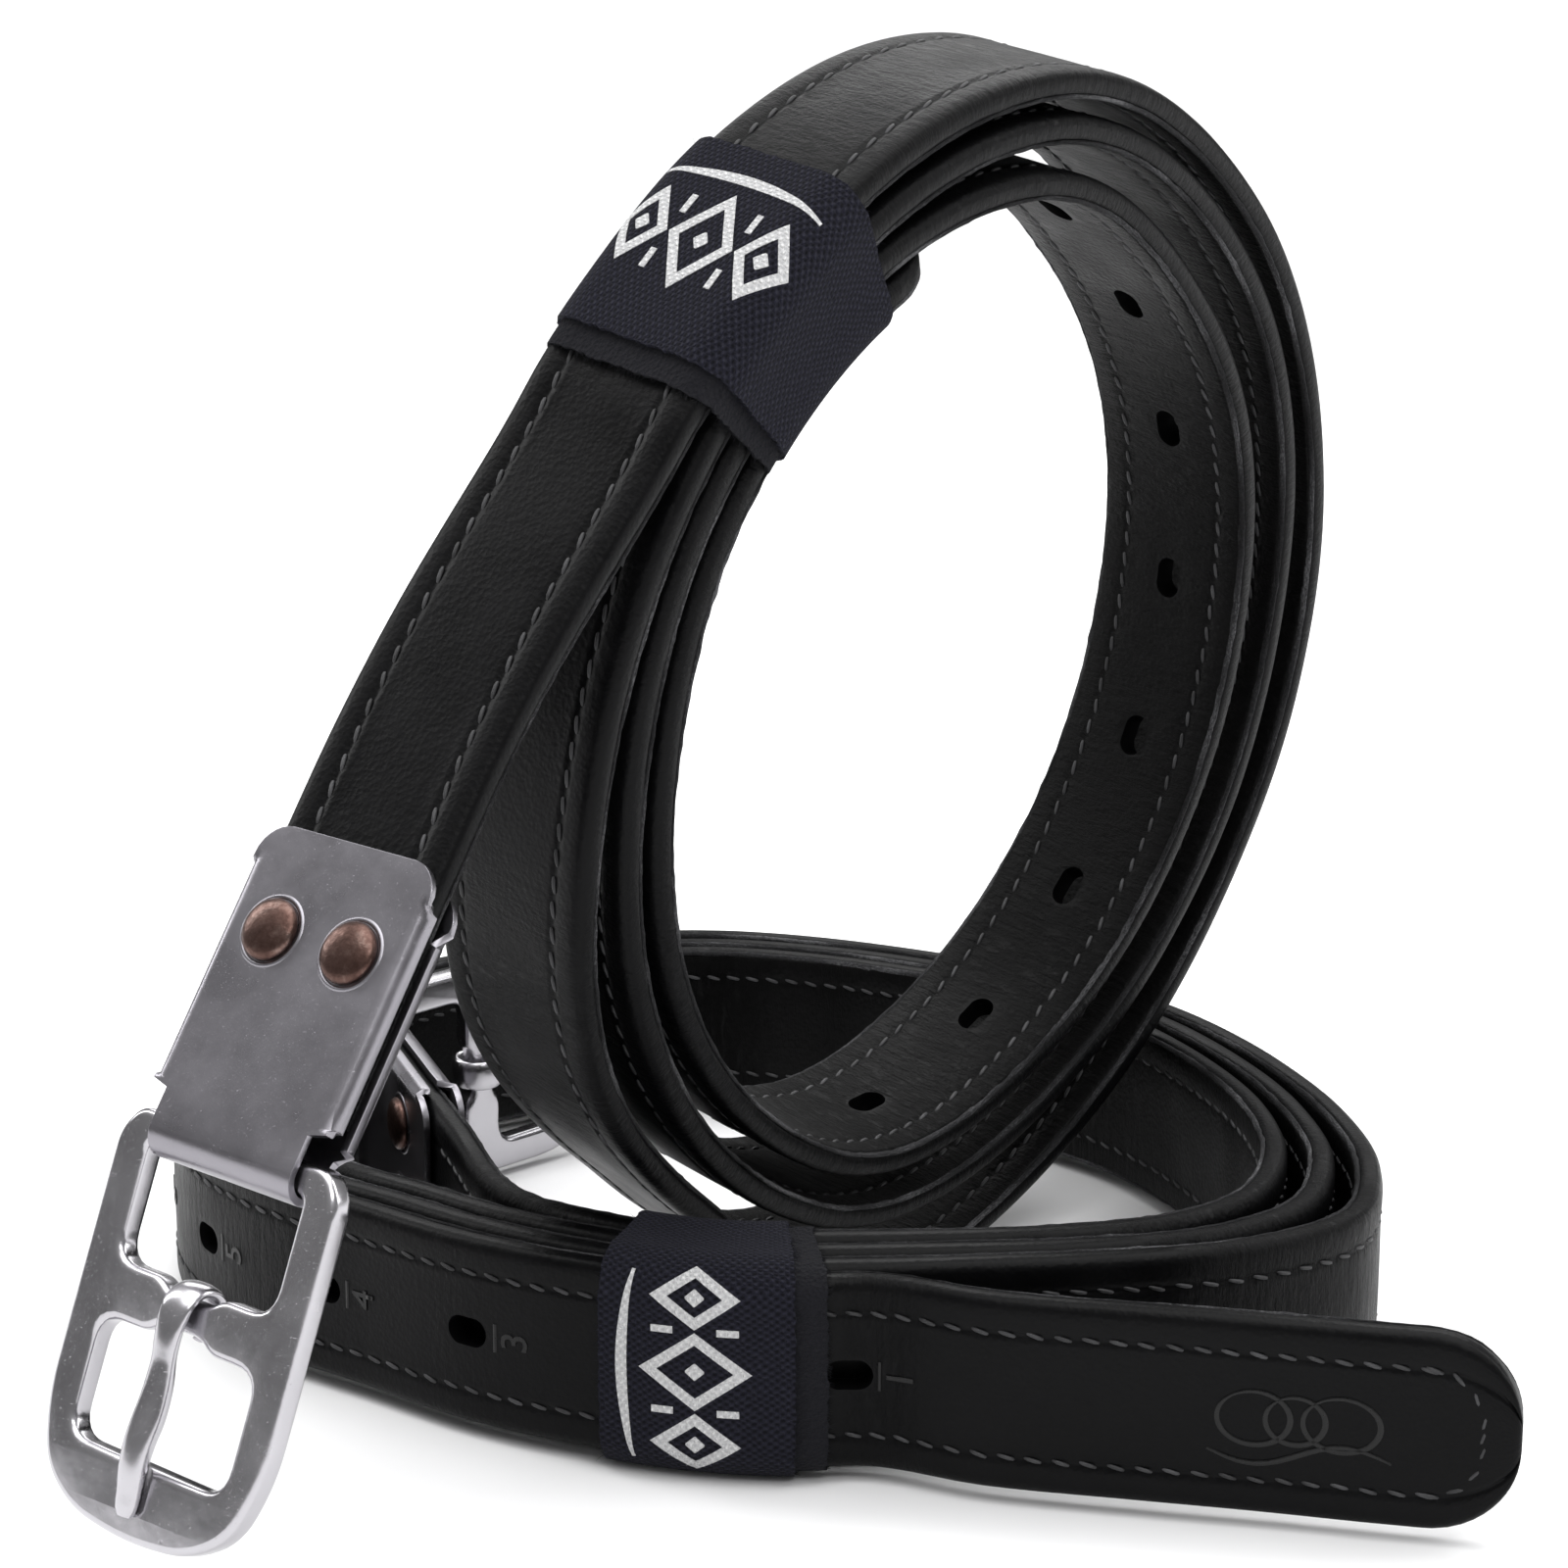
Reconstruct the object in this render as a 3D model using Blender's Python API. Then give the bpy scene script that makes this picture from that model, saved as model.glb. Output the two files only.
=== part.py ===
"""A pair of stirrup leathers, each wound into a three-turn coil and held by a woven band.

One leather lies on its edges (the coil axis is upright); the other stands on its turns inside it
and leans a little.  Every leather is an outer skin wrapped round both edges, a web core and a
lining, with a folded steel plate riveted to one end, a two-window buckle frame hinged in the
fold and a tongue hinged on the frame's middle bar.

Coordinates are written in millimetres and turned into metres when a mesh is made.
World +Z is up, +X runs to the right of the pair, +Y to its back.
"""
import math

import bmesh
import bpy
import numpy as np
from mathutils import Matrix, Vector

MM = 0.001

# ---------------------------------------------------------------- driving dimensions (mm)
ORIGIN_SHIFT = (5.3, -52.2, 0.0)     # puts the middle of the footprint on the world origin
STRAP_HALF = 12.5                   # half of the 25 mm strap
STRAP_THICK = 3.8
SKIN = 1.25                         # wrapped outer leather
SKIN_EDGE = 1.6                     # skin that shows along each long edge
GAP = 0.3                           # glue line between pieces
CORE = 0.7
SAGITTA = 0.28                      # how far a straight facet may cut inside the curve

HOLE_FIRST = 82.0                   # tip to first buckle hole
HOLE_PITCH = 25.0
HOLE_COUNT = 12
HOLE_LONG, HOLE_WIDE = 6.0, 3.8
TIP_TAPER = ((0.0, 0.52), (1.2, 0.74), (3.2, 0.89), (6.5, 0.98), (10.5, 1.0))

SHEET = 0.9                         # buckle plate steel
PLATE_LONG = 37.0                   # top edge of the plate to the fold axis
PLATE_FACE_HALF = 13.7
FOLD_HALF = 10.0                    # half width of the fold between the corner cut-outs
FOLD_NOTCH = 4.0                    # cut-out length above the fold axis
FOLD_RADIUS = 2.75                  # sheet centre line round the fold axis
STRAP_STOP = 6.5                    # leather stops this far before the fold axis
RIVET_DOWN = 12.3                   # rivet centres below the plate's top edge
RIVET_SIDE = 6.1
RIVET_SHANK = 1.5
RIVET_BORE = 1.85
RIVET_HEAD = 3.7

FRAME_HALF = 17.0
FRAME_THICK = 3.4
FRAME_END = 44.5                    # fold axis to the far face of the bowed bar
BAR_RADIUS = 1.9                    # round hinge bar and round neck of the middle bar
WINDOW_HALF = 12.2
UPPER_WINDOW = (3.0, 15.4)
LOWER_WINDOW = (21.8, 35.8)
NECK_AT = 18.6
NECK_HALF = 3.4
TONGUE_HALF = 2.2
TONGUE_THICK = 2.0

# Standing coil: plane, centre and the radius of each turn at fixed directions.
STAND_TURNED = 42.0                 # coil axis, degrees from +X towards -Y
STAND_LEAN = 10.5                   # degrees the coil axis dips at its near end
STAND_CENTRE = (11.3, 57.5, 91.0)   # middle of the strap width, at the coil centre
STAND_ANGLES = (150, 135, 120, 90, 60, 30, 0, -30, -60, -90, -120, -150, -180)
STAND_TURNS = ((77.3, 77.5, 79.4, 81.2, 76.9, 75.2, 76.9, 79.9, 84.8, 88.0, 76.8, 74.6, 70.6),
               (71.4, 72.7, 73.9, 75.5, 71.2, 69.0, 68.7, 71.6, 74.5, 76.1, 70.0, 65.7, 64.4),
               (66.8, 68.0, 68.8, 68.4, 61.9, 59.5, 59.1, 61.7, 65.4, 68.0, 62.7, 59.7, 59.1))
STAND_LAST = ((150, 62.1), (135, 63.2), (120, 64.0), (108, 64.3))
STAND_FOLD = (-118.9, -35.4)        # fold axis of the plate in the coil plane
STAND_PLATE_RISE = 55.0             # slope of the plate
STAND_TAIL = ((-76.4, 25.3),)
STAND_DRIFT = (9.0, 9.0)            # sideways shift at the fold, and its slope in degrees
STAND_FRAME_SWING = -13.0           # frame hangs steeper than the plate

# Lying coil: the same description seen from above.
LIE_CENTRE = (-8.0, 70.0, 14.5)
LIE_ANGLES = (-80, -95, -110, -125, -140, -155, -170, -200, -230, -245, -260, -275, -290, -320,
              -350, -365, -380, -392, -402, -414, -428)
LIE_TURNS = ((69.5, 68.0, 66.2, 66.0, 67.6, 74.0, 80.0, 85.0, 86.5, 87.5, 86.5, 81.5, 77.0, 74.8,
              76.0, 80.0, 85.5, 88.5, 84.0, 75.0, 67.5),
             (64.4, 63.4, 61.6, 61.4, 62.8, 68.8, 74.6, 79.6, 81.2, 82.3, 81.4, 76.7, 72.4, 70.2,
              71.2, 74.6, 79.2, 81.2, 78.0, 69.8, 62.7),
             (59.6, 58.8, 57.0, 56.8, 58.0, 63.6, 69.2, 74.2, 75.9, 77.1, 76.4, 71.9, 67.7, 65.6,
              66.4, 69.2, 72.6, 73.8, 71.2, 64.6, 57.8))
LIE_LAST = ((-80, 54.8), (-95, 54.2), (-110, 52.4), (-125, 51.6))
LIE_TIP = ((81.5, -18.5), (68.0, -15.4), (54.0, -12.0), (37.0, -8.4), (19.0, -4.2))
LIE_FOLD = (-66.0, 96.0)
LIE_PLATE_HEADING = 111.0           # heading of the plate towards its fold
LIE_FRAME_SWING = -68.0
LIE_DRIFT = (3.4, 3.6)              # the wide buckle lifts this end off the ground

BAND_UNDER = 0.5                    # pile strip against the leather
BAND_TOP = 0.6                      # woven strip over it
BAND_SLACK = 0.55


# ---------------------------------------------------------------- small helpers
def clear_scene():
    for ob in list(bpy.data.objects):
        bpy.data.objects.remove(ob, do_unlink=True)


def material(name, colour, rough, metal=0.0):
    mat = bpy.data.materials.new(name)
    mat.use_nodes = True
    shader = mat.node_tree.nodes["Principled BSDF"]
    shader.inputs["Base Color"].default_value = (*colour, 1.0)
    shader.inputs["Roughness"].default_value = rough
    shader.inputs["Metallic"].default_value = metal
    mat.diffuse_color = (*colour, 1.0)
    return mat


def make(name, verts, faces, mat, smooth=False, origin=None):
    """Mesh object from millimetre points, with its origin at `origin` (mm, world)."""
    base = Vector(origin if origin is not None else (0, 0, 0)) * MM
    mesh = bpy.data.meshes.new(name)
    mesh.from_pydata([tuple(Vector(v) * MM - base) for v in verts], [], faces)
    bm = bmesh.new()
    bm.from_mesh(mesh)
    bmesh.ops.recalc_face_normals(bm, faces=bm.faces)
    bm.to_mesh(mesh)
    bm.free()
    for poly in mesh.polygons:
        poly.use_smooth = smooth
    if mat is not None:
        mesh.materials.append(mat)
    ob = bpy.data.objects.new(name, mesh)
    ob.location = base
    bpy.context.scene.collection.objects.link(ob)
    return ob


def loft(rings, closed=False):
    """Skin a row of equal point rings; open rows get flat ends."""
    n = len(rings[0])
    verts = [p for ring in rings for p in ring]
    faces = []
    spans = len(rings) if closed else len(rings) - 1
    for i in range(spans):
        a, b = i * n, ((i + 1) % len(rings)) * n
        faces += [(a + j, a + (j + 1) % n, b + (j + 1) % n, b + j) for j in range(n)]
    if not closed:
        faces += [tuple(range(n - 1, -1, -1)), tuple(range(len(verts) - n, len(verts)))]
    return verts, faces


def cutter(name, verts, faces):
    ob = make(name, verts, faces, None)
    ob.hide_render = True
    ob.display_type = "WIRE"
    return ob


def boolean(target, tool, how):
    mod = target.modifiers.new(tool.name, "BOOLEAN")
    mod.operation = how
    mod.solver = "EXACT"
    mod.object = tool


def bake(ob):
    """Turn the modifier stack into plain mesh and drop the tools it used."""
    tools = [m.object for m in ob.modifiers if m.type == "BOOLEAN"]
    bpy.context.view_layer.update()
    depsgraph = bpy.context.evaluated_depsgraph_get()
    mesh = bpy.data.meshes.new_from_object(ob.evaluated_get(depsgraph))
    old, name = ob.data, ob.data.name
    ob.modifiers.clear()
    ob.data = mesh
    bpy.data.meshes.remove(old)
    mesh.name = name
    for tool in set(tools):
        bpy.data.objects.remove(tool, do_unlink=True)
    return ob


# ---------------------------------------------------------------- the winding
def smooth_curve(points, per_span=6):
    """Dense curve through hand-set points, chord-length Hermite."""
    pts = np.array(points, float)
    t = np.r_[0.0, np.cumsum(np.linalg.norm(np.diff(pts, axis=0), axis=1))]
    slope = np.diff(pts, axis=0) / np.diff(t)[:, None]
    tan = np.empty_like(pts)
    tan[0], tan[-1] = slope[0], slope[-1]
    w = (np.diff(t)[1:] / (t[2:] - t[:-2]))[:, None]
    tan[1:-1] = w * slope[:-1] + (1 - w) * slope[1:]
    out = []
    for i in range(len(pts) - 1):
        h = t[i + 1] - t[i]
        for k in range(per_span):
            s = k / per_span
            out.append((2 * s**3 - 3 * s**2 + 1) * pts[i] + (s**3 - 2 * s**2 + s) * h * tan[i]
                       + (3 * s**2 - 2 * s**3) * pts[i + 1] + (s**3 - s**2) * h * tan[i + 1])
    out.append(pts[-1])
    return np.array(out)


def slanted(height, degrees):
    """Sideways shift that is a straight slant along the plate and fades out beyond it."""
    slope = math.tan(math.radians(degrees))
    reach = 44.0 + 2 * (height / slope - 44.0)

    def shift(d):
        if d < 44.0:
            return height - slope * d, -slope
        k = max(0.0, reach - d) / (reach - 44.0)
        return slope * (reach - 44.0) * k * k / 2, -slope * k
    return shift


def winding(angles, turns, last):
    """Radii of all turns as one inward spiral, resampled every ten degrees or less."""
    knots = [(a - 360 * k, r) for k, row in enumerate(turns) for a, r in zip(angles, row)]
    knots += [(last[0][0] - 360 * len(turns) - (last[0][0] - a), r) for a, r in last]
    curve = smooth_curve([(-a, r) for a, r in knots], 3)
    return [(r * math.cos(math.radians(-a)), r * math.sin(math.radians(-a))) for a, r in curve]


class Strap:
    """A strap's centre line in its coil plane, with world axes for every place along it."""

    def __init__(self, points, centre, axes, tip_first, sideways):
        self.pts = smooth_curve(points, 5)
        self.s = np.r_[0.0, np.cumsum(np.linalg.norm(np.diff(self.pts, axis=0), axis=1))]
        self.length = float(self.s[-1])
        self.centre, self.axes, self.tip_first = np.array(centre), axes, tip_first
        self.sideways = sideways        # distance from the buckle end to (shift, slope)
        size = np.gradient(self.pts, self.s, axis=0)
        self.tan = size / np.linalg.norm(size, axis=1)[:, None]
        turn = np.gradient(np.unwrap(np.arctan2(self.tan[:, 1], self.tan[:, 0])), self.s)
        self.bend = np.convolve(np.abs(turn), np.ones(9) / 9, "same")

    def place(self, s):
        """Centre, width axis, outward normal and heading at arc length s (world, mm)."""
        x, y = (np.interp(s, self.s, self.pts[:, k]) for k in (0, 1))
        tx, ty = (np.interp(s, self.s, self.tan[:, k]) for k in (0, 1))
        size = math.hypot(tx, ty)
        tx, ty = tx / size, ty / size
        u, v, w = self.axes
        shift, slope = self.sideways(self.length - s if self.tip_first else s)
        slope = -slope if self.tip_first else slope
        along = tx * u + ty * v
        size = math.hypot(1.0, slope)
        return (self.centre + x * u + y * v + shift * w, (w - slope * along) / size,
                ty * -u + tx * v, (along + slope * w) / size)

    def stops(self, start, end):
        """Arc lengths between start and end, closer together where the strap bends."""
        out = [start]
        while out[-1] < end:
            bend = max(np.interp(out[-1], self.s, self.bend), 1 / 90.0)
            out.append(out[-1] + math.sqrt(8 * SAGITTA / bend))
        scale = (end - start) / (out[-1] - start)
        return [start + (s - start) * scale for s in out]

    def radii(self, angle):
        """Centre-line radii of every pass across a ray from the coil centre."""
        ray = math.radians(angle)
        x, y = self.pts[:, 0], self.pts[:, 1]
        side = x * -math.sin(ray) + y * math.cos(ray)
        reach = x * math.cos(ray) + y * math.sin(ray)
        hit = np.nonzero((side[:-1] * side[1:] <= 0) & (reach[:-1] > 0))[0]
        k = side[hit] / (side[hit] - side[hit + 1])
        return reach[hit] * (1 - k) + reach[hit + 1] * k

    def from_tip(self, d):
        return d if self.tip_first else self.length - d

    def sweep(self, section, end_gap, tip_gap):
        """Rings of a cross-section (across, outward) with the rounded tip drawn in."""
        tip = [(self.from_tip(d + tip_gap), f) for d, f in TIP_TAPER]
        full = self.from_tip(TIP_TAPER[-1][0] + 1.5)
        if self.tip_first:
            row = tip + [(s, 1.0) for s in self.stops(full, self.length - end_gap)]
        else:
            row = [(s, 1.0) for s in self.stops(end_gap, full)] + tip[::-1]
        rings = []
        for s, f in row:
            mid, wide, out, _ = self.place(s)
            rings.append([mid + a * f * wide + b * out for a, b in section])
        return loft(rings)


def skin_section():
    h, t, e = STRAP_HALF, STRAP_THICK / 2, STRAP_HALF - SKIN_EDGE
    half = [(h - 1.1, t), (h - 0.05, t - 1.0), (h - 0.05, 1.0 - t), (e, -t), (e, t - SKIN)]
    return half + [(-a, b) for a, b in reversed(half)]


def flat_section(half, low, high):
    return [(half, high), (half, low), (-half, low), (-half, high)]


def hole_prisms(strap):
    verts, faces = [], []
    for k in range(HOLE_COUNT):
        mid, wide, out, along = strap.place(strap.from_tip(HOLE_FIRST + HOLE_PITCH * k))
        a, b = HOLE_LONG / 2, HOLE_WIDE / 2
        ring = [(a, 0.0), (0.6 * a, b), (-0.6 * a, b), (-a, 0.0), (-0.6 * a, -b), (0.6 * a, -b)]
        rows = [[mid + x * along + y * wide + z * out for x, y in ring] for z in (-3.1, 3.1)]
        v, f = loft(rows)
        faces += [tuple(i + len(verts) for i in face) for face in f]
        verts += v
    return verts, faces


def round_ring(centre, a, b, radius, sides, start=0.0):
    return [centre + radius * (math.cos(2 * math.pi * (k + start) / sides) * a
                               + math.sin(2 * math.pi * (k + start) / sides) * b)
            for k in range(sides)]


class End:
    """Axes at the fold of a buckle plate: across, down (strap to buckle) and out."""

    def __init__(self, across, down, out, fold):
        self.across, self.down, self.out, self.fold = across, down, out, fold

    def at(self, x, t, y):
        return self.fold + x * self.across + t * self.down + y * self.out

    def hung(self, degrees):
        """The same axes turned about the fold: positive swings the buckle outward."""
        c, s = math.cos(math.radians(degrees)), math.sin(math.radians(degrees))
        return End(self.across, c * self.down + s * self.out,
                   c * self.out - s * self.down, self.fold)


def prism(end, outline, low, high):
    """Outline in (across, down), extruded between two heights along the outward axis."""
    return loft([[end.at(x, t, y) for x, t in outline] for y in (low, high)])


def box(end, x, t, y):
    outline = [(x[0], t[0]), (x[1], t[0]), (x[1], t[1]), (x[0], t[1])]
    return prism(end, outline, y[0], y[1])


def rounded(x, t, radius, steps=2):
    """Rounded rectangle outline in (across, down)."""
    out = []
    for cx, ct, a0 in ((x[1] - radius, t[1] - radius, 0), (x[0] + radius, t[1] - radius, 90),
                       (x[0] + radius, t[0] + radius, 180), (x[1] - radius, t[0] + radius, 270)):
        for k in range(steps + 1):
            a = math.radians(a0 + 90 * k / steps)
            out.append((cx + radius * math.cos(a), ct + radius * math.sin(a)))
    return out


# ---------------------------------------------------------------- pieces of one leather
def leather_pieces(tag, strap, end, mats):
    t = STRAP_THICK / 2
    lining_top = -t + SKIN
    inner = STRAP_HALF - SKIN_EDGE - GAP
    core_low = lining_top + GAP
    pieces = (("outer_leather", skin_section(), mats["skin"], 0.0),
              ("web_core", flat_section(inner, core_low, core_low + CORE), mats["web"], 1.0),
              ("lining_leather", flat_section(inner, -t, lining_top), mats["lining"], 0.4))
    made = []
    for name, section, mat, tip_gap in pieces:
        verts, faces = strap.sweep(section, STRAP_STOP, tip_gap)
        ob = make(f"{tag}_{name}", verts, faces, mat, smooth=False)
        boolean(ob, cutter(f"{tag}_{name}_holes", *hole_prisms(strap)), "DIFFERENCE")
        boolean(ob, rivet_bores(f"{tag}_{name}_bores", end), "DIFFERENCE")
        made.append(bake(ob))
    return made


def rivet_bores(name, end):
    verts, faces = [], []
    for side in (-1, 1):
        v, f = loft([round_ring(end.at(side * RIVET_SIDE, RIVET_DOWN - PLATE_LONG, y),
                                end.across, end.down, RIVET_BORE, 8, 0.5) for y in (-6.0, 6.0)])
        faces += [tuple(i + len(verts) for i in face) for face in f]
        verts += v
    return cutter(name, verts, faces)


def rivet(name, end, side, mat):
    """Domed head outside, shank through plate and leather, flatter set head inside."""
    face = FOLD_RADIUS + SHEET / 2 + 0.25
    profile = [(0.0, face + 1.35), (0.5, face + 1.1), (0.86, face + 0.6), (1.0, face)]
    rows = [(RIVET_HEAD * math.sin(0.5 * math.pi * k), y) for k, y in profile[1:]]
    rows += [(RIVET_SHANK, face), (RIVET_SHANK, -face), (3.1, -face), (2.5, -face - 0.6)]
    rings = [round_ring(end.at(side * RIVET_SIDE, RIVET_DOWN - PLATE_LONG, y),
                        end.across, end.down, r, 10) for r, y in rows]
    verts, faces = loft(rings)
    return make(name, verts, faces, mat, smooth=False)


def plate(name, end, mat):
    """Steel sheet folded round the frame's bar, with a low lip over each strap edge."""
    top, r, half = -PLATE_LONG, FOLD_RADIUS, SHEET / 2
    rows = [(top, r), (-1.0, r)]
    rows += [(r * math.sin(a), r * math.cos(a)) for a in np.linspace(0, math.pi, 9)[0:]]
    rows += [(-1.0, -r), (top + 1.5, -r)]
    line = np.array(rows)
    heading = np.gradient(line, axis=0)
    heading /= np.linalg.norm(heading, axis=1)[:, None]
    side = np.c_[-heading[:, 1], heading[:, 0]]
    outer, inner = line + half * side, line - half * side
    loop = [(p[0], p[1]) for p in outer] + [(p[0], p[1]) for p in inner[::-1]]
    verts, faces = loft([[end.at(x, t, y) for t, y in loop]
                         for x in (-PLATE_FACE_HALF + 0.02, PLATE_FACE_HALF - 0.02)])
    ob = make(name, verts, faces, mat)
    lip_top = r + half - 0.02
    for k, sx in enumerate((-1, 1)):
        for m, (t0, y0, y1) in enumerate(((top + 4.0, 0.75, lip_top),
                                          (top + 4.0, -lip_top, -0.75))):
            x = sorted((sx * (PLATE_FACE_HALF - SHEET), sx * PLATE_FACE_HALF))
            lip = box(end, x, (t0, -FOLD_NOTCH - 0.6), (y0, y1))
            boolean(ob, cutter(f"{name}_lip{k}{m}", *lip), "UNION")
    for k, sx in enumerate((-1, 1)):
        x = sorted((sx * FOLD_HALF, sx * (PLATE_FACE_HALF + 2)))
        boolean(ob, cutter(f"{name}_notch{k}", *box(end, x, (-FOLD_NOTCH, 8.0), (-8.0, 8.0))),
                "DIFFERENCE")
        corner = [(sx * (PLATE_FACE_HALF - 3.2), top - 1.0),
                  (sx * (PLATE_FACE_HALF + 1.0), top - 1.0),
                  (sx * (PLATE_FACE_HALF + 1.0), top + 3.2),
                  (sx * (PLATE_FACE_HALF - 0.9), top + 1.2)]
        boolean(ob, cutter(f"{name}_corner{k}", *prism(end, corner, -8.0, 8.0)), "DIFFERENCE")
    boolean(ob, rivet_bores(f"{name}_bores", end), "DIFFERENCE")
    return bake(ob)


def frame(name, end, mat):
    """Two-window frame with a bowed far bar; round bar in the fold, round neck for the tongue."""
    h, far, cut = FRAME_HALF, FRAME_END, WINDOW_HALF - 1.0
    side = [(h - 3.6, -1.9), (h - 1.3, -1.0), (h - 0.3, 1.6), (h, 12.0), (h, far - 14.0),
            (h - 0.7, far - 8.2), (h - 3.2, far - 4.2), (h - 8.0, far - 1.3)]
    outline = side + [(0.0, far)] + [(-x, t) for x, t in reversed(side)]
    verts, faces = prism(end, outline, -FRAME_THICK / 2, FRAME_THICK / 2)
    ob = make(name, verts, faces, mat, origin=tuple(end.fold))
    bevel = ob.modifiers.new("soft_edges", "BEVEL")
    bevel.width, bevel.segments = 0.9 * MM, 1
    bevel.limit_method, bevel.angle_limit = "ANGLE", math.radians(50)
    w = WINDOW_HALF
    tools = [("upper", rounded((-w, w), UPPER_WINDOW, 3.0)),
             ("lower", rounded((-w, w), LOWER_WINDOW, 3.0)),
             ("top", [(-cut, -4.0), (cut, -4.0), (cut, UPPER_WINDOW[0] + 3.2),
                      (-cut, UPPER_WINDOW[0] + 3.2)]),
             ("neck", [(-NECK_HALF, 12.0), (NECK_HALF, 12.0), (NECK_HALF, 25.0),
                       (-NECK_HALF, 25.0)])]
    for key, shape in tools:
        boolean(ob, cutter(f"{name}_{key}", *prism(end, shape, -4.0, 4.0)), "DIFFERENCE")
    for key, at, reach in (("bar", 0.0, cut + 1.2), ("pin", NECK_AT, NECK_HALF + 1.0)):
        rings = [round_ring(end.at(x, at, 0.0), end.down, end.out, BAR_RADIUS, 10, 0.5)
                 for x in (-reach, reach)]
        boolean(ob, cutter(f"{name}_{key}", *loft(rings)), "UNION")
    return bake(ob)


def tongue(name, end, mat):
    """Strip curled round the neck, then an easy S down to the far bar."""
    r = BAR_RADIUS + 0.45 + TONGUE_THICK / 2
    curl = [(NECK_AT - r * math.sin(a), r * math.cos(a))
            for a in np.radians(np.arange(228, -1, -24.0))]
    rest = FRAME_THICK / 2 + GAP + TONGUE_THICK / 2
    path = curl + [(22.5, 2.95), (27.0, 2.3), (31.0, 2.3), (34.6, 2.95), (38.5, rest + 0.1),
                   (42.0, rest + 0.1)]
    path = np.array(path)
    heading = np.gradient(path, axis=0)
    heading /= np.linalg.norm(heading, axis=1)[:, None]
    normal = np.c_[-heading[:, 1], heading[:, 0]]
    rings = []
    for i, (p, n) in enumerate(zip(path, normal)):
        k = max(0.0, (i - len(curl)) / (len(path) - len(curl) - 1.0))
        half, thick = TONGUE_HALF - 0.75 * k, TONGUE_THICK / 2 - 0.1 * k
        if i == len(path) - 1:
            half, thick = half * 0.7, thick * 0.7
        c = 0.45
        shape = [(half - c, thick), (half, thick - c), (half, c - thick), (half - c, -thick),
                 (c - half, -thick), (-half, c - thick), (-half, thick - c), (c - half, thick)]
        rings.append([end.at(x, p[0] + y * n[0], p[1] + y * n[1]) for x, y in shape])
    verts, faces = loft(rings)
    return make(name, verts, faces, mat, origin=tuple(end.at(0, NECK_AT, 0)))


def sleeve(name, coil, rays, side, thick, mat):
    """Closed wrap round the stacked turns: rays are (angle, inner radius, outer radius)."""
    centre, (u, v, w) = coil
    layers = []
    for grow in (thick, 0.0):
        for angle, low, high in rays:
            ray = math.cos(math.radians(angle)) * u + math.sin(math.radians(angle)) * v
            lo, hi, wd, k = low - grow, high + grow, side + grow, 0.8 + 0.5 * grow
            shape = [(-wd, lo + k), (-wd + k, lo), (wd - k, lo), (wd, lo + k),
                     (wd, hi - k), (wd - k, hi), (-wd + k, hi), (-wd, hi - k)]
            layers += [centre + b * ray + a * w for a, b in shape]
    n, m = 8, len(rays)
    faces = []
    for base in (0, n * m):
        for i in range(m - 1):
            for j in range(n):
                a, b = base + i * n + j, base + i * n + (j + 1) % n
                faces.append((a, b, b + n, a + n))
    for i in (0, m - 1):
        for j in range(n):
            a, b = i * n + j, i * n + (j + 1) % n
            faces.append((a, b, b + n * m, a + n * m))
    return make(name, layers, faces, mat)


def band(tag, strap, spans, mats):
    """Pile strip and woven strip; the woven one sits a little further along the coil."""
    strips = (("band_pile_wrap", spans[0], BAND_SLACK, BAND_UNDER, mats["pile"]),
              ("band_woven_wrap", spans[1], BAND_SLACK + BAND_UNDER + GAP, BAND_TOP,
               mats["woven"]))
    for name, span, off, thick, mat in strips:
        rays = []
        for a in np.linspace(span[0], span[1], 6):
            passes = strap.radii(a)
            rays.append((a, passes.min() - STRAP_THICK / 2 - off - 0.2,
                         passes.max() + STRAP_THICK / 2 + off + 0.2))
        sleeve(f"{tag}_{name}", (strap.centre, strap.axes), rays, STRAP_HALF + off, thick, mat)


def fold_end(strap, across_sign):
    """Buckle axes taken from the strap's own end."""
    mid, wide, out, along = strap.place(0.0 if not strap.tip_first else strap.length)
    down = -along if not strap.tip_first else along
    return End(across_sign * wide, down, out, mid)


def leather(tag, strap, across_sign, swing, mats):
    end = fold_end(strap, across_sign)
    leather_pieces(tag, strap, end, mats)
    plate(f"{tag}_buckle_plate", end, mats["steel"])
    for label, side in (("left", -1), ("right", 1)):
        rivet(f"{tag}_rivet_{label}", end, side, mats["copper"])
    hung = end.hung(swing)
    frame(f"{tag}_buckle_frame", hung, mats["steel"])
    tongue(f"{tag}_buckle_tongue", hung, mats["steel"])


def coil_axes(turned, lean):
    a, b = math.radians(turned), math.radians(lean)
    w = np.array([math.cos(a) * math.cos(b), -math.sin(a) * math.cos(b), -math.sin(b)])
    u = np.array([math.sin(a), math.cos(a), 0.0])
    return u, np.cross(w, u), w


def standing(mats):
    shift = np.array(ORIGIN_SHIFT)
    axes = coil_axes(STAND_TURNED, STAND_LEAN)
    centre = np.array(STAND_CENTRE) + shift
    rise = math.radians(STAND_PLATE_RISE)
    fold, back = np.array(STAND_FOLD), np.array([math.cos(rise), math.sin(rise)])
    points = [tuple(fold + k * back) for k in (0.0, 12.0, 24.0, 36.0, 44.0)]
    points += list(STAND_TAIL) + winding(STAND_ANGLES, STAND_TURNS, STAND_LAST)
    strap = Strap(points, centre, axes, False, slanted(*STAND_DRIFT))
    leather("standing", strap, -1, STAND_FRAME_SWING, mats)
    band("standing", strap, ((122.5, 143.2), (120.5, 140.8)), mats)
    return strap


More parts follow.
